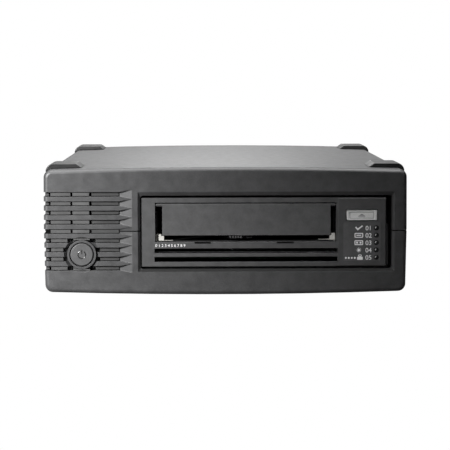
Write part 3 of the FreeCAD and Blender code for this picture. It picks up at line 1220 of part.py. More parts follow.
def side_screw(side, y):
    """A screw through the cradle's wall into the drive."""
    seat = (DRIVE_RIGHT if side > 0 else DRIVE_LEFT) + side * CRADLE_SHEET
    inner = (CHASSIS_RIGHT if side > 0 else CHASSIS_LEFT) - side * CHASSIS_WALL
    return screw(2.8, (seat, y, SIDE_SCREW_Z), (side * 1.4, 0, 0), abs(seat - inner))


def cradle_screw(x, y):
    """A countersunk screw, flush in the cradle's floor, that holds it to a post."""
    return bar(SCREW_R, (x, y, CRADLE_UNDER - 8), (x, y, DRIVE_BOTTOM))


save("drive_chassis", make_drive_chassis())
save("drive_cover", make_drive_cover())
save("main_board", make_main_board())
save("drive_connectors", make_drive_connectors())
save("drive_cradle", make_cradle())
save("drive_side_screws", group([side_screw(side, y) for side in (-1, 1) for y in SIDE_SCREW_YS]))
save("cradle_screws", group([cradle_screw(x, y) for x, y in CRADLE_POSTS]))

# ------------------------------------------------ drive: cartridge loader


def make_loader_tray():
    """The trough that holds the cartridge, with a long window for the hub."""
    under, top = TRAY_FLOOR - TRAY_SHEET, SLOT_TOP - 6
    floor = box(TRAY_LEFT, TRAY_RIGHT, TRAY_FRONT, TRAY_REAR, under, TRAY_FLOOR)
    left = box(TRAY_LEFT, TRAY_LEFT + TRAY_SHEET, TRAY_FRONT, TRAY_REAR, under, top)
    right = box(TRAY_RIGHT - TRAY_SHEET, TRAY_RIGHT, TRAY_FRONT, TRAY_REAR, under, top)
    stop = box(TRAY_LEFT, TRAY_LEFT + 14, TRAY_REAR, TRAY_REAR + TRAY_SHEET, under, TRAY_FLOOR + 8)
    tray = joined([floor, left, right, stop])
    reach = HUB_R + 1.2
    window = box(
        HUB_X - reach, HUB_X + reach, HUB_Y - CARTRIDGE_SLIDE - reach, HUB_Y + reach,
        TRAY_FLOOR - TRAY_SHEET - 1, TRAY_FLOOR + 1)
    window = window.makeChamfer(5.0, [edge for edge in window.Edges if runs_along(edge, Z_AXIS)])
    side_windows = []
    pitch = (TRAY_REAR - TRAY_FRONT - 14) / 3
    for index in range(3):
        y = TRAY_FRONT + 10 + index * pitch
        end = y + pitch - 8
        side_windows.append(box(TRAY_LEFT - 1, TRAY_RIGHT + 1, y, end, TRAY_FLOOR + 5, top - 4))
    return tray.cut([window] + side_windows)


def make_loader_carriage():
    """Two side plates on a rear bridge, with the nut of the lead screw."""
    gap = 0.4
    left_in = TRAY_LEFT - gap
    right_in = TRAY_RIGHT + gap
    top = CARRIAGE_Z + CARRIAGE_RISE
    left = box(left_in - CARRIAGE_SHEET, left_in, TRAY_FRONT + 4, CARRIAGE_REAR, CARRIAGE_Z, top)
    right = box(right_in, right_in + CARRIAGE_SHEET, TRAY_FRONT + 4, CARRIAGE_REAR, CARRIAGE_Z, top)
    bridge = box(left_in, right_in, CARRIAGE_REAR - 3, CARRIAGE_REAR, CARRIAGE_Z, CARRIAGE_Z + 1.6)
    lug = box(right_in, SCREW_AXIS_X + 4.5, NUT_Y0, NUT_Y1, SCREW_AXIS_Z - 4, SCREW_AXIS_Z + 4)
    carriage = joined([left, right, bridge, lug])
    bore = on_screw_axis(rod, LEAD_R + SHAFT_GAP, NUT_Y0 - 1, NUT_Y1 + 1)
    slots = []
    for y in (TRAY_FRONT + 16, CARRIAGE_REAR - 20):
        slots.append(box(left_in - 3, right_in + 3, y, y + 7, CARRIAGE_Z + 12, CARRIAGE_Z + 17))
    return carriage.cut([bore] + slots)


def make_loader_motor():
    """The can motor whose shaft is the lead screw."""
    can = on_screw_axis(rod, MOTOR_R, MOTOR_Y0, MOTOR_Y1)
    boss = on_screw_axis(bar, 3.5, MOTOR_Y1, MOTOR_Y1 + 1.5)
    return joined([can, boss]).cut(on_screw_axis(rod, LEAD_R + SHAFT_GAP, MOTOR_Y0 + 4, MOTOR_Y1 + 2))


def make_lead_screw():
    """The coarse screw that draws the carriage in, with a collar at its bearing."""
    shaft = on_screw_axis(rod, LEAD_R, MOTOR_Y0 + 4.3, LEAD_END - 0.3)
    collar_y = LEAD_END - 3 - RUN_GAP
    collar = on_screw_axis(rod, LEAD_R + 1.2, collar_y - 2, collar_y)
    return joined([shaft, collar])


save("loader_tray", make_loader_tray())
save("loader_carriage", make_loader_carriage())
save("loader_motor", make_loader_motor())
save("lead_screw", make_lead_screw())

# -------------------------------------------- drive: reels and tape path

STATOR_TOP = BASE_TOP + 2.0
HUB_POST_R = 2.0
HUB_TEETH = 12
MOTOR_SIDES = 24
REEL_STATOR_TOP = BASE_TOP + 4.5
REEL_POST_R = 2.5


def make_hub_motor_base():
    """The fixed half of the cartridge motor with its post."""
    disc = bar(HUB_R + 1, (HUB_X, HUB_Y, BASE_TOP), (HUB_X, HUB_Y, STATOR_TOP), MOTOR_SIDES)
    post = rod(HUB_POST_R, (HUB_X, HUB_Y, BASE_TOP), (HUB_X, HUB_Y, HUB_TOP - 1.2))
    return joined([disc, post])


def make_hub_clutch():
    """The turning cup of the cartridge motor with a crown of clutch teeth."""
    low, high = (HUB_X, HUB_Y, HUB_TOP - 1.5), (HUB_X, HUB_Y, HUB_TOP)
    cup = bar(HUB_R, (HUB_X, HUB_Y, STATOR_TOP + RUN_GAP), (HUB_X, HUB_Y, HUB_TOP - 1.0), MOTOR_SIDES)
    crown = bar(HUB_R - 3, low, high, MOTOR_SIDES).cut(bar(HUB_R - 7, low, high, MOTOR_SIDES))
    nose = bar(4.0, low, high, MOTOR_SIDES // 2)
    clutch = joined([cup, crown, nose])
    cuts = [rod(HUB_POST_R + SHAFT_GAP, (HUB_X, HUB_Y, 0), (HUB_X, HUB_Y, HUB_TOP - 1.2 + RUN_GAP))]
    for index in range(HUB_TEETH):
        notch = box(HUB_R - 8, HUB_R - 2, -0.9, 0.9, HUB_TOP - 1.0, HUB_TOP + 1)
        notch.rotate(V(0, 0, 0), Z_AXIS, index * 360.0 / HUB_TEETH)
        cuts.append(notch.translated(V(HUB_X, HUB_Y, 0)))
    return clutch.cut(cuts)


def make_reel_motor_base():
    """The fixed half of the take-up motor with its tall post."""
    disc = bar(REEL_HUB_R, (REEL_X, REEL_Y, BASE_TOP), (REEL_X, REEL_Y, REEL_STATOR_TOP), MOTOR_SIDES)
    post = rod(REEL_POST_R, (REEL_X, REEL_Y, BASE_TOP), (REEL_X, REEL_Y, REEL_Z1 + 1.0))
    return joined([disc, post])


def make_take_up_reel():
    """The flanged reel that takes the tape, lightened by windows in its flanges."""
    low_flange = bar(REEL_R, (REEL_X, REEL_Y, REEL_Z0), (REEL_X, REEL_Y, REEL_Z0 + FLANGE), ROUND_SIDES)
    high_flange = bar(REEL_R, (REEL_X, REEL_Y, REEL_Z1 - FLANGE), (REEL_X, REEL_Y, REEL_Z1), ROUND_SIDES)
    core = bar(REEL_HUB_R, (REEL_X, REEL_Y, REEL_Z0), (REEL_X, REEL_Y, REEL_Z1), MOTOR_SIDES)
    boss_start = (REEL_X, REEL_Y, REEL_STATOR_TOP + RUN_GAP)
    boss = bar(REEL_HUB_R - 6, boss_start, (REEL_X, REEL_Y, REEL_Z0), MOTOR_SIDES)
    reel = joined([low_flange, high_flange, core, boss])
    cuts = [rod(REEL_POST_R + SHAFT_GAP, (REEL_X, REEL_Y, 0), (REEL_X, REEL_Y, REEL_Z1 + 1))]
    pocket = box(-2.2, 2.2, REEL_HUB_R - 8, REEL_R + 1, REEL_Z0 + FLANGE + 0.5, REEL_Z1 + 1)
    cuts.append(pocket.translated(V(REEL_X, REEL_Y, 0)))
    height = REEL_Z1 - REEL_Z0 + 2
    step = 360.0 / REEL_WINDOWS
    for index in range(REEL_WINDOWS):
        middle = math.radians(90 + step / 2 + index * step)
        half = math.radians(REEL_WINDOW_ARC / 2)
        outline = []
        inner_arc = (REEL_HUB_R + 4, (-half, 0, half))
        outer_arc = (REEL_R - 5, (half, half / 2, 0, -half / 2, -half))
        for radius, turns in (inner_arc, outer_arc):
            for turn in turns:
                x = REEL_X + radius * math.cos(middle + turn)
                outline.append(V(x, REEL_Y + radius * math.sin(middle + turn), REEL_Z0 - 1))
        cuts.append(Part.Face(Part.makePolygon(outline + outline[:1])).extrude(V(0, 0, height)))
    return reel.cut(cuts)


def make_roller(x, y):
    """A flanged guide roller that turns on its post."""
    top = REEL_Z1 + RUN_GAP
    body = bar(ROLLER_R - 0.8, (x, y, REEL_Z0), (x, y, top), ROLLER_SIDES)
    low = bar(ROLLER_R, (x, y, REEL_Z0), (x, y, REEL_Z0 + FLANGE), ROLLER_SIDES)
    high = bar(ROLLER_R, (x, y, top - FLANGE), (x, y, top), ROLLER_SIDES)
    roller = joined([body, low, high])
    return roller.cut(rod(ROLLER_POST_R + SHAFT_GAP, (x, y, 0), (x, y, REEL_Z1 + 2)))


def make_head_carriage():
    """The read and write head on a block that climbs two rails."""
    z0, z1 = REEL_Z0, REEL_Z1
    front = box(HEAD_X0, HEAD_X0 + 4, HEAD_Y - 5, HEAD_Y + 5, z0 + 1.5, z1 - 0.5)
    upright = [edge for edge in front.Edges if runs_along(edge, Z_AXIS)]
    nose_edges = [edge for edge in upright if edge.CenterOfMass.x < HEAD_X0 + 1]
    front = front.makeChamfer(1.2, nose_edges)
    block = box(HEAD_X0 + 3.5, HEAD_X1 - 1.2, HEAD_Y - 6.5, HEAD_Y + 6.5, z0 + 2, z1 - 1)
    ears = box(RAIL_X - 3.2, RAIL_X + 3.2, HEAD_Y - HEAD_HALF_Y, HEAD_Y + HEAD_HALF_Y, z0 + 4, z0 + 11)
    carriage = joined([front, block, ears])
    bores = []
    for y in (HEAD_Y - RAIL_HALF_Y, HEAD_Y + RAIL_HALF_Y):
        bores.append(rod(RAIL_R + SHAFT_GAP, (RAIL_X, y, 0), (RAIL_X, y, REEL_Z1 + 9)))
    return carriage.cut(bores)


def make_head_rails():
    """Two guide rails tied by a bridge at their tops."""
    top = REEL_Z1 + HEAD_TRAVEL + 1.5
    bridge = box(RAIL_X - 3, RAIL_X + 3, HEAD_Y - HEAD_HALF_Y, HEAD_Y + HEAD_HALF_Y, top, top + 1.6)
    rails = [bridge]
    for rail in (-RAIL_HALF_Y, RAIL_HALF_Y):
        rails.append(rod(RAIL_R, (RAIL_X, HEAD_Y + rail, BASE_TOP - 1.5), (RAIL_X, HEAD_Y + rail, top + 0.5)))
    return joined(rails)


def make_head_magnet():
    """The fixed magnet yoke of the head's voice coil."""
    yoke = box(HEAD_X1 - 0.6, CHASSIS_RIGHT - CHASSIS_WALL, HEAD_Y - 8, HEAD_Y + 8, BASE_TOP, REEL_Z1 + 3)
    gap = box(HEAD_X1 + 1.4, HEAD_X1 + 3.4, HEAD_Y - 6, HEAD_Y + 6, BASE_TOP + 2, REEL_Z1 + 4)
    return yoke.cut(gap)


def make_threading_arm():
    """The arm that carries the tape's leader pin from the cartridge to the reel."""
    dx, dy = ARM_TIP[0] - ARM_X, ARM_TIP[1] - ARM_Y
    length = math.hypot(dx, dy)
    angle = math.degrees(math.atan2(dy, dx))
    beam = box(0, length, -ARM_HALF, ARM_HALF, ARM_Z, ARM_Z + ARM_THICK)
    eye = bar(6.5, (0, 0, ARM_Z), (0, 0, ARM_Z + ARM_THICK), 16)
    tip = bar(ARM_HALF, (length, 0, ARM_Z), (length, 0, ARM_Z + ARM_THICK), 12)
    shaft = rod(2.0, (0, 0, THREADER_TOP - 6), (0, 0, ARM_Z))
    hook = bar(ARM_HALF, (length, 0, ARM_Z - 1.2), (length, 0, ARM_Z), 12)
    hook = hook.cut(bar(1.6, (length, 0, ARM_Z - 2), (length, 0, ARM_Z), 12))
    arm = joined([beam, eye, tip, shaft, hook])
    windows = []
    for index in range(3):
        x0 = length * (0.14 + 0.27 * index)
        windows.append(box(x0, x0 + length * 0.2, -1.4, 1.4, ARM_Z - 1, ARM_Z + ARM_THICK + 1))
    arm = arm.cut(windows)
    arm.rotate(V(0, 0, 0), Z_AXIS, angle)
    arm.translate(V(ARM_X, ARM_Y, 0))
    return arm


def make_threader_motor():
    """The geared motor that swings the threading arm."""
    can = rod(8.0, (ARM_X, ARM_Y, BASE_TOP), (ARM_X, ARM_Y, THREADER_TOP))
    bore = rod(2.0 + SHAFT_GAP, (ARM_X, ARM_Y, THREADER_TOP - 6.3), (ARM_X, ARM_Y, THREADER_TOP + 1))
    return can.cut(bore)


save("hub_motor_base", make_hub_motor_base())
save("hub_clutch", make_hub_clutch())
save("reel_motor_base", make_reel_motor_base())
save("take_up_reel", make_take_up_reel())
for index, (x, y) in enumerate(ROLLERS):
    save("guide_roller_%d" % (index + 1), make_roller(x, y))
posts = [rod(ROLLER_POST_R, (x, y, BASE_TOP - 1), (x, y, REEL_Z1 + 1.0)) for x, y in ROLLERS]
save("roller_posts", group(posts))
save("head_carriage", make_head_carriage())
save("head_rails", make_head_rails())
save("head_magnet", make_head_magnet())
save("threading_arm", make_threading_arm())
save("threader_motor", make_threader_motor())

# ------------------------------------------------------------ inner cables


def cable(points, radius, sides=8):
    """A cable along straight runs whose corners are eased by three short chords."""
    corners = [V(*p) for p in points]
    path = [corners[0]]
    for before, corner, after in zip(corners, corners[1:], corners[2:]):
        into = (corner - before).normalize()
        out = (after - corner).normalize()
        reach = 0.4 * min((corner - before).Length, (after - corner).Length)
        start = corner - into * reach
        end = corner + out * reach
        path.append(start)
        for share in (0.33, 0.67):
            path.append(start * (1 - share) ** 2 + corner * (2 * share * (1 - share)) + end * share ** 2)
        path.append(end)
    path.append(corners[-1])
    return swept(path, radius, sides)


port_back = PANEL_OUT + PORT_PROUD - PORT_DEPTH
lead_z = (CONNECTOR_Z[0] + CONNECTOR_Z[1]) / 2
leads = []
for lead_x, port_x in zip((CONNECTOR_X[0] + 6, CONNECTOR_X[1] - 7), PORT_XS):
    leads.append(cable([
        (lead_x, DRIVE_REAR, lead_z), (lead_x, DRIVE_REAR + 14, lead_z),
        (port_x, port_back - 18, PORT_Z), (port_x, port_back, PORT_Z)], 2.4))
save("interface_cables", group(leads))
mains = []
for dx, dz in INLET_PINS:
    x, z = INLET_X + dx, INLET_Z + dz
    mains.append(bar(1.2, (x, PSU_Y1 - 7, z), (x, PANEL_OUT - 26, z)))
save("mains_leads", group(mains))
outlet_x = PSU_X1 - 12
outlet_y = PSU_Y1 - 55
dc_x = (DC_CONNECTOR_X[0] + DC_CONNECTOR_X[1]) / 2
harness = cable([
    (outlet_x, outlet_y, PSU_BOARD_TOP + 9), (outlet_x, outlet_y, 46.0),
    (outlet_x + 4, DRIVE_REAR + 14, 44.0),
    (dc_x, DRIVE_REAR + 24, lead_z), (dc_x, DRIVE_REAR, lead_z)], 2.6)
save("power_harness", harness)
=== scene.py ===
import math

import bmesh
import bpy
from mathutils import Matrix, Vector


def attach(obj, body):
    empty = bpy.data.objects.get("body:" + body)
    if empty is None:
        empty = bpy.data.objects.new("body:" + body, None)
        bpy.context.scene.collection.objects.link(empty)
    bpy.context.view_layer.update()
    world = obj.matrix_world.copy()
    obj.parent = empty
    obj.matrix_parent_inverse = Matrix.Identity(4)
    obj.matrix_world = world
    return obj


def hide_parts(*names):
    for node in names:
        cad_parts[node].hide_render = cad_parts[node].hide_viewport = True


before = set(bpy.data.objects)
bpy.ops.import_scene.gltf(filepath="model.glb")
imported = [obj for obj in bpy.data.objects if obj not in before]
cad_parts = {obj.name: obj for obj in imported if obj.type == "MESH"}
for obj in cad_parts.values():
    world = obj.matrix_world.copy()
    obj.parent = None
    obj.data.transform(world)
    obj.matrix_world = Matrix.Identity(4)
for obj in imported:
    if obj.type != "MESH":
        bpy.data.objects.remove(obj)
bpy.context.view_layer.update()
scene = bpy.context.scene
MM = 0.001

# Camera
# A long lens stands about a metre in front of the drive, a little above it and
# a touch to the left, looking slightly down on the front and the crowned top.
LENS = 134.4
CAMERA_AT = Vector((-11.34, -1144.4, 138.67)) * MM
PITCH, YAW, ROLL = 0.094, 0.011, -0.002

camera = bpy.data.objects.new("camera", bpy.data.cameras.new("camera"))
camera.data.lens = LENS
camera.data.sensor_width = 36.0
camera.data.clip_start = 0.01
ahead = Vector((math.sin(YAW) * math.cos(PITCH), math.cos(YAW) * math.cos(PITCH), -math.sin(PITCH)))
level = Vector((math.cos(YAW), -math.sin(YAW), 0))
upright = level.cross(ahead)
side = level * math.cos(ROLL) + upright * math.sin(ROLL)
top = upright * math.cos(ROLL) - level * math.sin(ROLL)
camera.matrix_world = Matrix.Translation(CAMERA_AT) @ Matrix((side, top, -ahead)).transposed().to_4x4()
scene.collection.objects.link(camera)
scene.camera = camera
scene.view_settings.view_transform = "Standard"


# Floor and air
# A plain white sweep: the floor and the air behind it read as paper white. In
# reflections and as light the air is bright above and behind, dim in front.
def paint(name):
    """A new node material with its shader at hand."""
    made = bpy.data.materials.new(name)
    made.use_nodes = True
    tree = made.node_tree
    return made, tree, tree.nodes["Principled BSDF"]


def wired(tree, kind, **settings):
    """A shader node with its settings and its unlinked inputs filled in."""
    node = tree.nodes.new(kind)
    for key, value in settings.items():
        if hasattr(node, key):
            setattr(node, key, value)
        else:
            node.inputs[key.replace("_", " ")].default_value = value
    return node


def computed(tree, operation, *sources):
    """The result of a maths node that takes sockets and plain values."""
    node = wired(tree, "ShaderNodeMath", operation=operation)
    for socket, source in zip(node.inputs, sources):
        if isinstance(source, bpy.types.NodeSocket):
            tree.links.new(source, socket)
        else:
            socket.default_value = source
    return node.outputs[0]


def ranged(tree, source, low, high, start=0.3, end=0.7, kind="LINEAR"):
    """A value stretched from one range to another."""
    node = wired(tree, "ShaderNodeMapRange", interpolation_type=kind)
    node.inputs["From Min"].default_value = start
    node.inputs["From Max"].default_value = end
    node.inputs["To Min"].default_value = low
    node.inputs["To Max"].default_value = high
    tree.links.new(source, node.inputs["Value"])
    return node.outputs[0]


FLOOR_SIZE = 6.0
PAPER = (0.16, 0.16, 0.16, 1)
WHITE = (1, 1, 1, 1)
AMBIENT = 0.08
DIM_AIR, BRIGHT_AIR = 0.02, 0.9
BACK_LEAN, AIR_RISE, SIDE_FALL = 0.12, 0.45, -1.2
BAND_TOWARD, BAND_EDGE, BAND_AIR = (0, -0.2, 0.98), 0.70, 7.0

floor_shape = bmesh.new()
bmesh.ops.create_grid(floor_shape, x_segments=1, y_segments=1, size=FLOOR_SIZE / 2)
floor_mesh = bpy.data.meshes.new("floor")
floor_shape.to_mesh(floor_mesh)
floor_shape.free()
floor = bpy.data.objects.new("floor", floor_mesh)
scene.collection.objects.link(floor)

paper, tree, shader = paint("white_sweep")
shader.inputs["Base Color"].default_value = PAPER
shader.inputs["Roughness"].default_value = 0.9
shader.inputs["Specular IOR Level"].default_value = 0.1
ray = wired(tree, "ShaderNodeLightPath")
glow = wired(tree, "ShaderNodeEmission", Color=WHITE, Strength=1.0)
shown = wired(tree, "ShaderNodeMixShader")
tree.links.new(ray.outputs["Is Camera Ray"], shown.inputs[0])
tree.links.new(shader.outputs[0], shown.inputs[1])
tree.links.new(glow.outputs[0], shown.inputs[2])
tree.links.new(shown.outputs[0], tree.nodes["Material Output"].inputs[0])
floor_mesh.materials.append(paper)

air = bpy.data.worlds.new("air")
scene.world = air
air.use_nodes = True
tree = air.node_tree
toward = wired(tree, "ShaderNodeTexCoord")
parts = wired(tree, "ShaderNodeSeparateXYZ")
tree.links.new(toward.outputs["Generated"], parts.inputs[0])
upward = computed(tree, "MULTIPLY_ADD", parts.outputs["Y"], BACK_LEAN, parts.outputs["Z"])
behind = ranged(tree, upward, DIM_AIR, BRIGHT_AIR, 0.0, AIR_RISE)
facing = wired(tree, "ShaderNodeVectorMath", operation="DOT_PRODUCT")
facing.inputs[1].default_value = BAND_TOWARD
tree.links.new(toward.outputs["Generated"], facing.inputs[0])
band = ranged(tree, facing.outputs["Value"], 0.0, BAND_AIR, BAND_EDGE, 1.0, "SMOOTHSTEP")
aside = computed(tree, "ABSOLUTE", parts.outputs["X"])
dimmed = computed(tree, "MAXIMUM", computed(tree, "MULTIPLY_ADD", aside, SIDE_FALL, behind), DIM_AIR)
ray = wired(tree, "ShaderNodeLightPath")
mirrored = wired(tree, "ShaderNodeMix", data_type="FLOAT")
mirrored.inputs["A"].default_value = AMBIENT
tree.links.new(ray.outputs["Is Glossy Ray"], mirrored.inputs["Factor"])
tree.links.new(computed(tree, "ADD", dimmed, band), mirrored.inputs["B"])
seen = computed(tree, "MAXIMUM", mirrored.outputs[0], ray.outputs["Is Camera Ray"])
tree.links.new(seen, tree.nodes["Background"].inputs["Strength"])
tree.nodes["Background"].inputs["Color"].default_value = WHITE


# Lamps
# A soft spot lamp at the left front fades along the front. A weak box high
# above fills the top, and another fills the back.
LAMP_AT = Vector((-0.46, -0.62, 0.28))
LAMP_TOWARD = Vector((-0.32, -0.14, 0.045))
LAMP_WATTS, LAMP_CONE, LAMP_SIZE = 66.0, math.radians(70), 0.09


def aimed(at, toward):
    """The place and turn of a lamp that faces a point."""
    turn = (Vector(toward) - Vector(at)).to_track_quat("-Z", "Y").to_matrix().to_4x4()
    return Matrix.Translation(at) @ turn


lamp = bpy.data.objects.new("left_lamp", bpy.data.lights.new("left_lamp", "SPOT"))
lamp.data.energy = LAMP_WATTS
lamp.data.spot_size = LAMP_CONE
lamp.data.spot_blend = 1.0
lamp.data.shadow_soft_size = LAMP_SIZE
lamp.matrix_world = aimed(LAMP_AT, LAMP_TOWARD)
scene.collection.objects.link(lamp)


def soft_box(name, at, toward, width, height, watts):
    """An area lamp that faces a point."""
    box = bpy.data.objects.new(name, bpy.data.lights.new(name, "AREA"))
    box.data.shape = "RECTANGLE"
    box.data.size, box.data.size_y = width, height
    box.data.energy = watts
    box.matrix_world = aimed(at, toward)
    scene.collection.objects.link(box)


soft_box("top_box", at=(0, 0, 0.9), toward=(0, 0, 0), width=0.5, height=0.5, watts=1.5)
soft_box("back_box", at=(-0.01, 0.65, 0.42), toward=(-0.01, 0, 0.08), width=0.2, height=0.15, watts=0.6)


# Housing
# Two injection-moulded halves in dark grey plastic with a fine spark-eroded
# grain. They are drawn together by four long screws from below.
HOUSING_GREY = (0.048, 0.048, 0.049, 1)
SHELL_ANGLE = 12
SEAM, SEAM_HALF = 40.5, 0.3
SEAM_SLOT_X, SEAM_SLOT_Y, SEAM_SLOT_HALF = -64.0, -141.1, 1.4
SILL_X, SILL_Y, SILL_Z, SILL_FACING = (-58, 100), -132, (6, 19), 0.35
CLOUD_TIMES, RELIEF_STRENGTH, GLOSS_SPREAD = 11, 0.6, 0.04
WELD_DISTANCE, FLAT_ANGLE = 2e-6, math.radians(0.05)


def noise(tree, size_mm, detail=2.0, stretch=(1, 1, 1)):
    """A noise whose cells have a size in millimetres on the object."""
    place = wired(tree, "ShaderNodeTexCoord")
    turn = wired(tree, "ShaderNodeMapping")
    turn.inputs["Scale"].default_value = stretch
    pattern = wired(tree, "ShaderNodeTexNoise", Scale=1000 / size_mm, Detail=detail, Roughness=0.55)
    tree.links.new(place.outputs["Object"], turn.inputs["Vector"])
    tree.links.new(turn.outputs[0], pattern.inputs["Vector"])
    return pattern.outputs["Fac"]


def finish(
        name, colour, roughness, grain_mm, depth_mm, mottle=0.15,
        metal=0.0, stretch=(1, 1, 1), bare=0.5, edge_mm=0.0):
    """A surface with relief, mottled tone and uneven gloss, and edges that shade as rounded."""
    made, tree, shader = paint(name)
    fine = noise(tree, grain_mm, stretch=stretch)
    cloud = noise(tree, grain_mm * CLOUD_TIMES, detail=4.0)
    relief = wired(tree, "ShaderNodeBump", Strength=RELIEF_STRENGTH, Distance=depth_mm * MM)
    tree.links.new(fine, relief.inputs["Height"])
    tree.links.new(relief.outputs[0], shader.inputs["Normal"])
    if edge_mm:
        rounded = wired(tree, "ShaderNodeBevel", Radius=edge_mm * MM)
        tree.links.new(rounded.outputs[0], relief.inputs["Normal"])
    tone = ranged(tree, computed(tree, "ADD", fine, cloud), 1 - mottle, 1 + mottle, 0.7, 1.3)
    tint = wired(tree, "ShaderNodeVectorMath", operation="SCALE")
    tint.inputs[0].default_value = colour[:3]
    tree.links.new(tone, tint.inputs["Scale"])
    tree.links.new(tint.outputs[0], shader.inputs["Base Color"])
    gloss = ranged(tree, cloud, roughness - GLOSS_SPREAD, roughness + GLOSS_SPREAD)
    tree.links.new(gloss, shader.inputs["Roughness"])
    shader.inputs["Metallic"].default_value = metal
    shader.inputs["Specular IOR Level"].default_value = bare
    return made


def bare_shape(node):
    """A CAD node's own shape, welded into whole faces."""
    shape = bmesh.new()
    shape.from_mesh(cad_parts[node].data)
    bmesh.ops.remove_doubles(shape, verts=shape.verts, dist=WELD_DISTANCE)
    bmesh.ops.dissolve_limit(
        shape, angle_limit=FLAT_ANGLE, verts=shape.verts, edges=shape.edges,
        use_dissolve_boundaries=False)
    return shape


def placed(name, shape, body, material):
    """A finished piece from a bmesh, riding on its body."""
    mesh = bpy.data.meshes.new(name)
    bmesh.ops.recalc_face_normals(shape, faces=shape.faces)
    shape.to_mesh(mesh)
    shape.free()
    mesh.materials.append(material)
    piece = bpy.data.objects.new(name, mesh)
    scene.collection.objects.link(piece)
    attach(piece, body)
    return piece


def smoothed(piece, ease_mm, segments=2, angle=32):
    """Shade a piece's curves smoothly, and round its sharp edges if a width is given."""
    for face in piece.data.polygons:
        face.use_smooth = True
    piece.data.set_sharp_from_angle(angle=math.radians(angle))
    if ease_mm:
        ease = piece.modifiers.new("eased_edges", "BEVEL")
        ease.width = ease_mm * MM
        ease.segments = segments
        ease.limit_method = "ANGLE"
        ease.angle_limit = math.radians(angle)
        ease.use_clamp_overlap = False
        ease.harden_normals = True
    else:
        even = piece.modifiers.new("even_shading", "WEIGHTED_NORMAL")
        even.keep_sharp = True
    return piece


def softened(node, body, material, ease_mm=0.15, segments=2, angle=32):
    """A CAD node shown by its own shape, smoothly shaded."""
    piece = placed(node + "_shown", bare_shape(node), body, material)
    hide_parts(node)
    return smoothed(piece, ease_mm, segments, angle)


def dressed(material, *nodes):
    """Give CAD nodes their finish."""
    for node in nodes:
        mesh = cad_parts[node].data
        mesh.materials.clear()
        mesh.materials.append(material)


def shade_gap(piece):
    """Paint the faces inside the parting gap and its grille slot black, as painted shade."""
    piece.data.materials.append(gap_painted_shade)
    under = piece.name.startswith("lower")
    for face in piece.data.polygons:
        x, y, z = face.center / MM
        in_gap = z > SEAM - SEAM_HALF - 0.02 if under else z < SEAM + SEAM_HALF + 0.02
        on_floor = x < SEAM_SLOT_X and abs(y - SEAM_SLOT_Y) < 0.05
        if in_gap or on_floor and abs(z - SEAM) < SEAM_SLOT_HALF:
            face.material_index = 1


def shade_sill(piece):
    """Make the drive opening's bottom return duller, and paint it darker as shade."""
    piece.data.materials.append(sill_shade_matt)
    for face in piece.data.polygons:
        x, y, z = face.center / MM
        inside = SILL_X[0] < x < SILL_X[1] and y < SILL_Y and SILL_Z[0] < z < SILL_Z[1]
        if inside and face.normal.z > SILL_FACING:
            face.material_index = 2


housing = finish("housing_plastic", HOUSING_GREY, 0.45, 0.45, 0.07, 0.22, edge_mm=0.35)
# The sill finish is duller, and its darker colour is painted shade.
sill_shade_matt = finish("sill_shade_matt", (0.018, 0.018, 0.018, 1), 0.7, 0.6, 0.07, 0.22, bare=0.12, edge_mm=0.35)
# Black for faces where only shade falls: painted shade in the gaps and slots.
gap_painted_shade = finish("gap_painted_shade", (0.004, 0.004, 0.004, 1), 0.8, 0.6, 0.02, bare=0.05)
upper_half = softened("upper_shell", "enclosure", housing, 0, 0, SHELL_ANGLE)
shade_gap(upper_half)
lower_half = softened("lower_shell", "enclosure", housing, 0, 0, SHELL_ANGLE)
shade_gap(lower_half)
shade_sill(lower_half)


# Corner pads
# Four black rubber pads moulded over the ends of the long top edges. Their
# flat tops carry the next unit and shine a little where the light skims them.
pad_rubber = finish("pad_rubber", (0.012, 0.012, 0.012, 1), 0.34, 0.8, 0.03)
softened("corner_pads", "enclosure", pad_rubber, 0.5, 3)


# Base feet
# Four black rubber discs pressed into seats under the lower half.
foot_rubber = finish("foot_rubber", (0.012, 0.012, 0.012, 1), 0.75, 0.5, 0.03)
softened("base_feet", "enclosure", foot_rubber, 0.2)


# Vent screen
# A stepped moulding behind the grille slots, snapped in before the front edge.
# Its raised strips almost fill the slots and leave a dark line round each.
SLOTS, SLOT_TOP_Z, SLOT_STEP = 9, 62.725, 5.56
STRIP_HALF, BEHIND_SLOTS = 1.0, -138.0
SEAM_ROW, SEAM_STRIP = 4, (SEAM_SLOT_Y - 0.55, SEAM_SLOT_Y)
LEFT_ENDS = {
    "all": (-104.7, -92.8), 5: (-104.7, -94.9), 6: (-104.7, -97.4), 7: (-104.7, -97.4), 8: (-104.7, -94.9)}
COLUMN_ENDS = {
    "all": (-91.6, -81.6), 5: (-91.2, -81.4, 35.3, 36.2), 6: None, 7: None, 8: (-91.2, -81.4, 16.95, 17.7)}
RIGHT_ENDS = {
    "all": (-80.2, -63.9), 5: (-78.0, -63.9), 6: (-75.3, -63.9), 7: (-75.3, -63.9), 8: (-78.0, -63.9)}
SIDE_X, SIDE_Y = (-108.1, -105.8), (-138.6, -127.6)


def block(shape, x0, x1, y0, y1, z0, z1):
    """A block between two values on each axis, in millimetres."""
    made = bmesh.ops.create_cube(shape, size=1.0)["verts"]
    bmesh.ops.scale(shape, vec=Vector((x1 - x0, y1 - y0, z1 - z0)) * MM, verts=made)
    bmesh.ops.translate(shape, vec=Vector((x0 + x1, y0 + y1, z0 + z1)) * (MM / 2), verts=made)
    return made


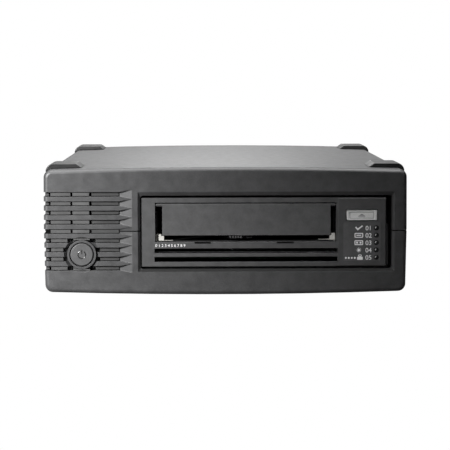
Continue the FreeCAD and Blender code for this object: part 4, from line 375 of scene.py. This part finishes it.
def slot_strips(name, tone, sections, front):
    """One section's strips in all the slots. A row near the ring has its own ends or none."""
    shape = bmesh.new()
    for row in range(SLOTS):
        ends = sections.get(row, sections["all"])
        if ends:
            z = SLOT_TOP_Z - row * SLOT_STEP
            face, back = SEAM_STRIP if row == SEAM_ROW else (front, BEHIND_SLOTS)
            low, high = ends[2:] or (z - STRIP_HALF, z + STRIP_HALF)
            block(shape, ends[0], ends[1], face, back, low, high)
    plastic = finish(name + "_plastic", (tone, tone, tone, 1), 0.46, 0.5, 0.05, 0.2)
    smoothed(placed(name, shape, "enclosure", plastic), 0.12)


screen_plastic = finish("screen_plastic", (0.03, 0.03, 0.03, 1), 0.5, 0.5, 0.04)
softened("vent_baffle", "enclosure", screen_plastic, 0.1)
# The strips' tones are painted light and shade: the near column lighter, the deep right section darker.
slot_strips("slot_strips_left", 0.052, LEFT_ENDS, -141.1)
slot_strips("slot_strips_column", 0.066, COLUMN_ENDS, -141.5)
slot_strips("slot_strips_right", 0.036, RIGHT_ENDS, -140.4)
sides = bmesh.new()
for row in range(SLOTS):
    if row != SEAM_ROW:
        z = SLOT_TOP_Z - row * SLOT_STEP
        block(sides, *SIDE_X, *SIDE_Y, z - STRIP_HALF, z + STRIP_HALF)
side_plastic = finish("slot_sides_plastic", (0.04, 0.04, 0.04, 1), 0.46, 0.5, 0.05, 0.2)
smoothed(placed("slot_strips_side", sides, "enclosure", side_plastic), 0.15)


# Power button
# A round moulded cap with a raised standby sign, pressed out by its spring.
# The sign is an open ring and a bar, raised and glossy; its dark colour is painted shade.
SIGN_AT = Vector((-86.3, -141.5, 26.5)) * MM
SIGN_R, SIGN_WIRE, SIGN_BAR = 2.25 * MM, 0.42 * MM, 2.5 * MM
SIGN_OPEN = math.radians(38)
button_plastic = finish("button_plastic", (0.072, 0.072, 0.073, 1), 0.42, 0.5, 0.03)
softened("power_button", "button", button_plastic, 0.15)

# The sign's dark colour is painted shade of its raised strokes.
sign_shade_dark = finish("sign_shade_dark", (0.02, 0.02, 0.02, 1), 0.22, 0.4, 0.01)
sign = bmesh.new()
section = bmesh.ops.create_circle(sign, cap_ends=False, segments=10, radius=SIGN_WIRE)["verts"]
bmesh.ops.translate(sign, vec=(SIGN_R, 0, 0), verts=section)
start = Matrix.Rotation(SIGN_OPEN - math.pi / 2, 3, "Y")
bmesh.ops.rotate(sign, cent=(0, 0, 0), matrix=start, verts=section)
bmesh.ops.spin(
    sign, geom=sign.verts[:] + sign.edges[:], cent=(0, 0, 0), axis=(0, 1, 0), dvec=(0, 0, 0),
    angle=2 * (math.pi - SIGN_OPEN), steps=28, use_merge=False, use_duplicate=False)
bmesh.ops.holes_fill(sign, edges=sign.edges, sides=12)
stroke = bmesh.ops.create_cone(
    sign, cap_ends=True, segments=10, radius1=SIGN_WIRE, radius2=SIGN_WIRE, depth=SIGN_BAR)["verts"]
bmesh.ops.translate(sign, vec=(0, 0, SIGN_R * 0.75), verts=stroke)
bmesh.ops.translate(sign, vec=SIGN_AT, verts=sign.verts)
smoothed(placed("standby_sign", sign, "button", sign_shade_dark), 0)


# Drive front
# The half-height drive's own moulded face: a plate with a rim, a cartridge
# slot with a hinged flap on its pin, and two air slots whose insides are painted black as shade.
FACE_Y = -140.0
AIR_SLOTS, AIR_SLOT_END = ((21.7, 24.7), (26.9, 29.8)), 68.4
bezel_plastic = finish("bezel_plastic", (0.060, 0.060, 0.061, 1), 0.46, 0.4, 0.06, 0.2, edge_mm=0.3)
flap_plastic = finish("flap_plastic", (0.064, 0.064, 0.065, 1), 0.48, 0.4, 0.06, 0.2, edge_mm=0.25)
drive_face = softened("drive_bezel", "enclosure", bezel_plastic, 0, 0, SHELL_ANGLE)
# The air slots' inner faces get the black painted shade.
drive_face.data.materials.append(gap_painted_shade)
for face in drive_face.data.polygons:
    x, y, z = face.center / MM
    level_with = any(low - 0.05 < z < high + 0.05 for low, high in AIR_SLOTS)
    if level_with and y > FACE_Y + 0.05 and x < AIR_SLOT_END:
        face.material_index = 1
softened("cartridge_door", "door", flap_plastic, 0, 0, SHELL_ANGLE)


def sheet(outline, holes, front, thickness, shape=None):
    """A thin plate from an outline and holes, both lists of points in x and z."""
    if shape is None:
        shape = bmesh.new()
    rims = []
    for loop in [outline] + holes:
        corners = [shape.verts.new(Vector((x, front, z)) * MM) for x, z in loop]
        rims += [shape.edges.new(pair) for pair in zip(corners, corners[1:] + corners[:1])]
    filled = bmesh.ops.triangle_fill(shape, use_beauty=True, edges=rims)["geom"]
    faces = [part for part in filled if isinstance(part, bmesh.types.BMFace)]
    raised = bmesh.ops.extrude_face_region(shape, geom=faces)["geom"]
    back = [part for part in raised if isinstance(part, bmesh.types.BMVert)]
    bmesh.ops.translate(shape, vec=(0, thickness * MM, 0), verts=back)
    return shape


def arc_points(x, z, radius, angles):
    """Points at some angles round a middle."""
    return [(x + radius * math.cos(angle), z + radius * math.sin(angle)) for angle in angles]


def ring_points(x, z, radius, count):
    """Points round a circle."""
    return arc_points(x, z, radius, [2 * math.pi * index / count for index in range(count)])


def rounded_points(x0, x1, z0, z1, radius, count=5):
    """Points round a rectangle with rounded corners."""
    points = []
    left, right, low, high = x0 + radius, x1 - radius, z0 + radius, z1 - radius
    middles = ((right, high), (left, high), (left, low), (right, low))
    for quarter, (x, z) in enumerate(middles):
        angles = [math.pi / 2 * (quarter + index / count) for index in range(count + 1)]
        points += arc_points(x, z, radius, angles)
    return points


# Slot corners
# Two pale wear-resistant guides stand in the slot's lower corners, and thin
# strips lead the cartridge past them. Black blocks in the finger notches are painted shade.
GUIDE_Y = (-138.2, -136.8)
GUIDE_BLOCKS = (
    (62.7, 66.0, 34.7, 37.3), (63.9, 66.0, 37.3, 38.8), (-40.2, -37.0, 34.4, 37.2),
    (-40.2, -38.7, 37.2, 38.3), (56.0, 62.7, 34.9, 35.15), (-37.0, -31.5, 34.4, 34.65))
NOTCHES, NOTCH_Y, NOTCH_Z = ((-18.6, -8.8), (30.9, 41.1)), (-139.6, -138.4), (32.72, 33.66)

guide_plastic = finish("guide_plastic", (0.50, 0.49, 0.46, 1), 0.4, 0.6, 0.01, 0.08)
guides = bare_shape("cartridge_guides")
for x0, x1, z0, z1 in GUIDE_BLOCKS:
    block(guides, x0, x1, *GUIDE_Y, z0, z1)
shown_guides = placed("guide_nubs", guides, "enclosure", guide_plastic)
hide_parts("cartridge_guides")
smoothed(shown_guides, 0.08)

# Black blocks in the notches: painted shade.
notch_painted_shade = finish("notch_painted_shade", (0.004, 0.004, 0.004, 1), 0.9, 0.6, 0.03, bare=0.05)
notch_shade_blocks = bmesh.new()
for notch in NOTCHES:
    block(notch_shade_blocks, *notch, *NOTCH_Y, *NOTCH_Z)
placed("notch_painted_shade", notch_shade_blocks, "enclosure", notch_painted_shade)


# Eject key
# A light grey key in a black gap, with a frame line and a small sign printed
# on its dished face.
KEY_FLOOR, KEY_INK = -140.0, 0.05
KEY_MIDDLE = (81.95, 49.6)
KEY_FRAME, KEY_LINE = (7.3, 1.9), 0.28
KEY_SIGN = 2.1

key_plastic = finish("key_plastic", (0.74, 0.74, 0.73, 1), 0.36, 0.6, 0.012, 0.07)
softened("eject_button", "eject", key_plastic, 0.15)

key_print = finish("key_print", (0.26, 0.26, 0.26, 1), 0.5, 0.3, 0.004)


def around_key(reach, low, high, radius, count=5):
    """Points round a rectangle placed from the key's middle."""
    x, z = KEY_MIDDLE
    return rounded_points(x - reach, x + reach, z + low, z + high, radius, count)


reach, rise = KEY_FRAME
frame_hole = around_key(reach - KEY_LINE, KEY_LINE - rise, rise - KEY_LINE, 0.3)
arrow = [(KEY_MIDDLE[0] + x, KEY_MIDDLE[1] + z) for x, z in ((-KEY_SIGN, -0.35), (KEY_SIGN, -0.35), (0, 0.95))]
for name, outline, holes in (
        ("eject_frame_line", around_key(reach, -rise, rise, 0.4), [frame_hole]),
        ("eject_arrow", arrow, []),
        ("eject_bar", around_key(KEY_SIGN, -1.1, -0.7, 0.1, 1), [])):
    patch = sheet(outline, holes, KEY_FLOOR - KEY_INK, 0.04)
    placed(name, patch, "eject", key_print)


# Lamps and their marks
# Five light pipes stand in round holes of a satin overlay. A black ring in
# each hole is painted shade, and a white crescent on each is a painted glint.
# White figures and plain signs are printed beside them.
LAMP_X, LAMP_TOP, LAMP_PITCH = 90.8, 41.95, 4.45
LAMP_HOLE, HOLE_SHADE_INNER, RING_SIDES = 1.5, 1.12, 24
GLINT_OUTER, GLINT_INNER = 0.85, 0.45
MARK_RIGHT, SIGNS_LEFT = 88.0, 7.8
INK_Y = FACE_Y - 0.10
TEXT_PER_HEIGHT = 1.38
TICK = ((-2.3, 0.3), (-1.7, 0.9), (-0.7, -0.3), (1.9, 1.6), (2.5, 1.1), (-0.7, -1.5))
rows = [LAMP_TOP - index * LAMP_PITCH for index in range(5)]

overlay_film = finish("overlay_film", (0.085, 0.085, 0.086, 1), 0.42, 0.4, 0.01, 0.2)
holes = [ring_points(LAMP_X, z, LAMP_HOLE, RING_SIDES) for z in rows]
film = sheet(rounded_points(70.9, 93.3, 22.0, 45.3, 1.2), holes, FACE_Y - 0.06, 0.05)
placed("lamp_overlay", film, "enclosure", overlay_film)

lens_plastic = finish("lens_plastic", (0.05, 0.05, 0.052, 1), 0.14, 0.8, 0.004, 0.05, bare=0.8)
softened("lamp_lenses", "enclosure", lens_plastic, 0.1)
hole_painted_shade = finish("hole_painted_shade", (0.003, 0.003, 0.003, 1), 0.8, 0.5, 0.01, bare=0.05)
lens_painted_glint = finish("lens_painted_glint", (0.85, 0.85, 0.85, 1), 0.2, 0.6, 0.003, 0.04)
turns = [math.radians(95 + 15 * step) for step in range(8)]
for index, z in enumerate(rows):
    rim = ring_points(LAMP_X, z, LAMP_HOLE, RING_SIDES)
    # A black ring in each hole: painted shade.
    hole_shade = sheet(rim, [ring_points(LAMP_X, z, HOLE_SHADE_INNER, RING_SIDES)], FACE_Y + 0.3, 0.2)
    placed("lamp_hole_shade_%d" % (index + 1), hole_shade, "enclosure", hole_painted_shade)
    # A white crescent on each pipe: a painted glint.
    crescent = arc_points(LAMP_X, z, GLINT_OUTER, turns) + arc_points(LAMP_X, z, GLINT_INNER, turns[::-1])
    edge = sheet(crescent, [], FACE_Y - 0.12, 0.2)
    placed("lamp_glint_%d" % (index + 1), edge, "enclosure", lens_painted_glint)

white_ink = finish("white_ink", (0.92, 0.92, 0.92, 1), 0.5, 0.25, 0.003, 0.04)


def mark(shape, *loops):
    """A printed patch from its outline and any holes."""
    sheet(loops[0], list(loops[1:]), INK_Y, 0.08, shape)


def framed(x, z, width, height, line):
    """The outline and the hole of a printed frame."""
    reach, rise = width / 2, height / 2
    outside = rounded_points(x - reach, x + reach, z - rise, z + rise, 0.5, 3)
    reach, rise = reach - line, rise - line
    return outside, rounded_points(x - reach, x + reach, z - rise, z + rise, 0.15, 2)


def figures(name, text, x, z, height, align, heavy_mm=0.05):
    """Printed figures made into a mesh in their place on the drive's face."""
    curve = bpy.data.curves.new(name, "FONT")
    curve.body = text
    curve.size = height * TEXT_PER_HEIGHT * MM
    curve.align_x = align
    curve.extrude = 0.05 * MM
    curve.offset = heavy_mm * MM
    written = bpy.data.objects.new(name + "_curve", curve)
    scene.collection.objects.link(written)
    bpy.context.view_layer.update()
    evaluated = written.evaluated_get(bpy.context.evaluated_depsgraph_get())
    shape = bmesh.new()
    shape.from_mesh(bpy.data.meshes.new_from_object(evaluated))
    bpy.data.objects.remove(written)
    upright = Matrix.Rotation(math.pi / 2, 3, "X")
    bmesh.ops.rotate(shape, cent=(0, 0, 0), matrix=upright, verts=shape.verts)
    bmesh.ops.translate(shape, vec=Vector((x, FACE_Y - 0.06, z - height / 2)) * MM, verts=shape.verts)
    placed(name, shape, "enclosure", white_ink)


for index, z in enumerate(rows):
    figures("lamp_figure_%d" % (index + 1), "0%d" % (index + 1), MARK_RIGHT, z, 2.8, "RIGHT")
signs = bmesh.new()
left = MARK_RIGHT - SIGNS_LEFT
mark(signs, [(left + x, rows[0] + z) for x, z in TICK])
mark(signs, *framed(left, rows[1], 5.2, 2.9, 0.55))
mark(signs, rounded_points(left - 1.5, left + 1.5, rows[1] - 0.25, rows[1] + 0.35, 0.2, 2))
mark(signs, *framed(left, rows[2], 5.2, 2.9, 0.55))
for side in (-1, 1):
    mark(signs, ring_points(left + side * 1.05, rows[2], 0.65, 16))
spokes = []
for outer, inner in zip(ring_points(left, rows[3], 1.75, 16)[::2], ring_points(left, rows[3], 0.6, 16)[1::2]):
    spokes += [outer, inner]
mark(signs, spokes)
mark(signs, rounded_points(left - 1.0, left + 2.4, rows[4] - 1.45, rows[4] + 0.35, 0.25, 2))
mark(signs, *framed(left + 0.7, rows[4] + 1.05, 2.1, 1.3, 0.4))
for index in range(4):
    mark(signs, ring_points(left - 2.4 - index * 1.8, rows[4] - 0.3, 0.6, 12))
placed("lamp_signs", signs, "enclosure", white_ink)
figures("type_figures", "0 1 2 3 4 5 6 7 8 9", -42.2, 31.7, 1.75, "LEFT", heavy_mm=0)


# Rear
# A painted steel panel with the fan's grille and screws, the mains inlet and
# two shielded sockets. None of it shows from the front.
panel_paint = finish("painted_panel", (0.045, 0.045, 0.046, 1), 0.45, 0.7, 0.03)
softened("rear_panel", "enclosure", panel_paint, 0.1)
dressed(panel_paint, "drive_cradle")
black_moulding = finish("black_moulding", (0.018, 0.018, 0.018, 1), 0.42, 0.6, 0.02)
softened("power_inlet", "enclosure", black_moulding, 0.2)
dressed(black_moulding, "drive_connectors", "loader_carriage", "take_up_reel", "threading_arm")
contact_metal = finish("contact_metal", (0.72, 0.70, 0.64, 1), 0.3, 0.5, 0.004, 0.08, metal=1.0)
dressed(contact_metal, "inlet_pins")
sheet_steel = finish(
    "sheet_steel", (0.50, 0.50, 0.51, 1), 0.36, 1.6, 0.01, 0.12, metal=1.0, stretch=(1, 0.12, 1))
softened("interface_sockets", "enclosure", sheet_steel, 0.15)
dressed(sheet_steel, "psu_tray", "drive_cover")
black_oxide = finish("black_oxide_steel", (0.012, 0.012, 0.013, 1), 0.5, 0.8, 0.01)
dressed(black_oxide, "loader_tray")
fan_plastic = finish("fan_plastic", (0.022, 0.022, 0.022, 1), 0.4, 0.6, 0.02)
softened("fan_frame", "enclosure", fan_plastic, 0.3)
softened("fan_rotor", "fan", fan_plastic, 0.15)
screw_steel = finish("screw_steel", (0.12, 0.12, 0.125, 1), 0.34, 0.4, 0.008, 0.12, metal=1.0)
dressed(screw_steel, "rear_panel_screws", "fan_screws", "case_screws")


# Inside
# What the closed housing hides: steel and cast parts, boards, cans, windings
# and cables, each in its plain trade finish.
plain_steel = finish("plain_steel", (0.58, 0.58, 0.59, 1), 0.28, 0.8, 0.006, 0.1, metal=1.0)
dressed(
    plain_steel, "power_button_spring", "psu_screws", "door_pin", "door_spring", "drive_side_screws",
    "cradle_screws", "loader_motor", "lead_screw", "hub_clutch", "roller_posts", "head_rails", "head_magnet")
cast_alloy = finish("cast_alloy", (0.52, 0.53, 0.54, 1), 0.5, 1.2, 0.04, 0.12, metal=0.9)
dressed(cast_alloy, "drive_chassis", "hub_motor_base", "reel_motor_base")
solder_mask = finish("circuit_board", (0.012, 0.07, 0.03, 1), 0.35, 1.5, 0.01, 0.25)
dressed(solder_mask, "power_switch_board", "psu_board", "front_board", "main_board")
can_aluminium = finish("can_aluminium", (0.62, 0.63, 0.64, 1), 0.32, 1.0, 0.006, 0.08, metal=1.0)
dressed(
    can_aluminium, "psu_capacitors", "psu_heat_sink", "guide_roller_1", "guide_roller_2", "guide_roller_3",
    "guide_roller_4", "threader_motor")
copper_winding = finish(
    "copper_winding", (0.45, 0.20, 0.07, 1), 0.38, 0.8, 0.06, 0.2, metal=0.8, stretch=(0.2, 0.2, 1))
dressed(copper_winding, "psu_transformer")
head_ceramic = finish("head_ceramic", (0.09, 0.09, 0.095, 1), 0.2, 0.7, 0.004, 0.1)
dressed(head_ceramic, "head_carriage")
cable_sheath = finish("cable_sheath", (0.02, 0.02, 0.021, 1), 0.5, 0.8, 0.03)
dressed(cable_sheath, "interface_cables", "mains_leads", "power_harness")
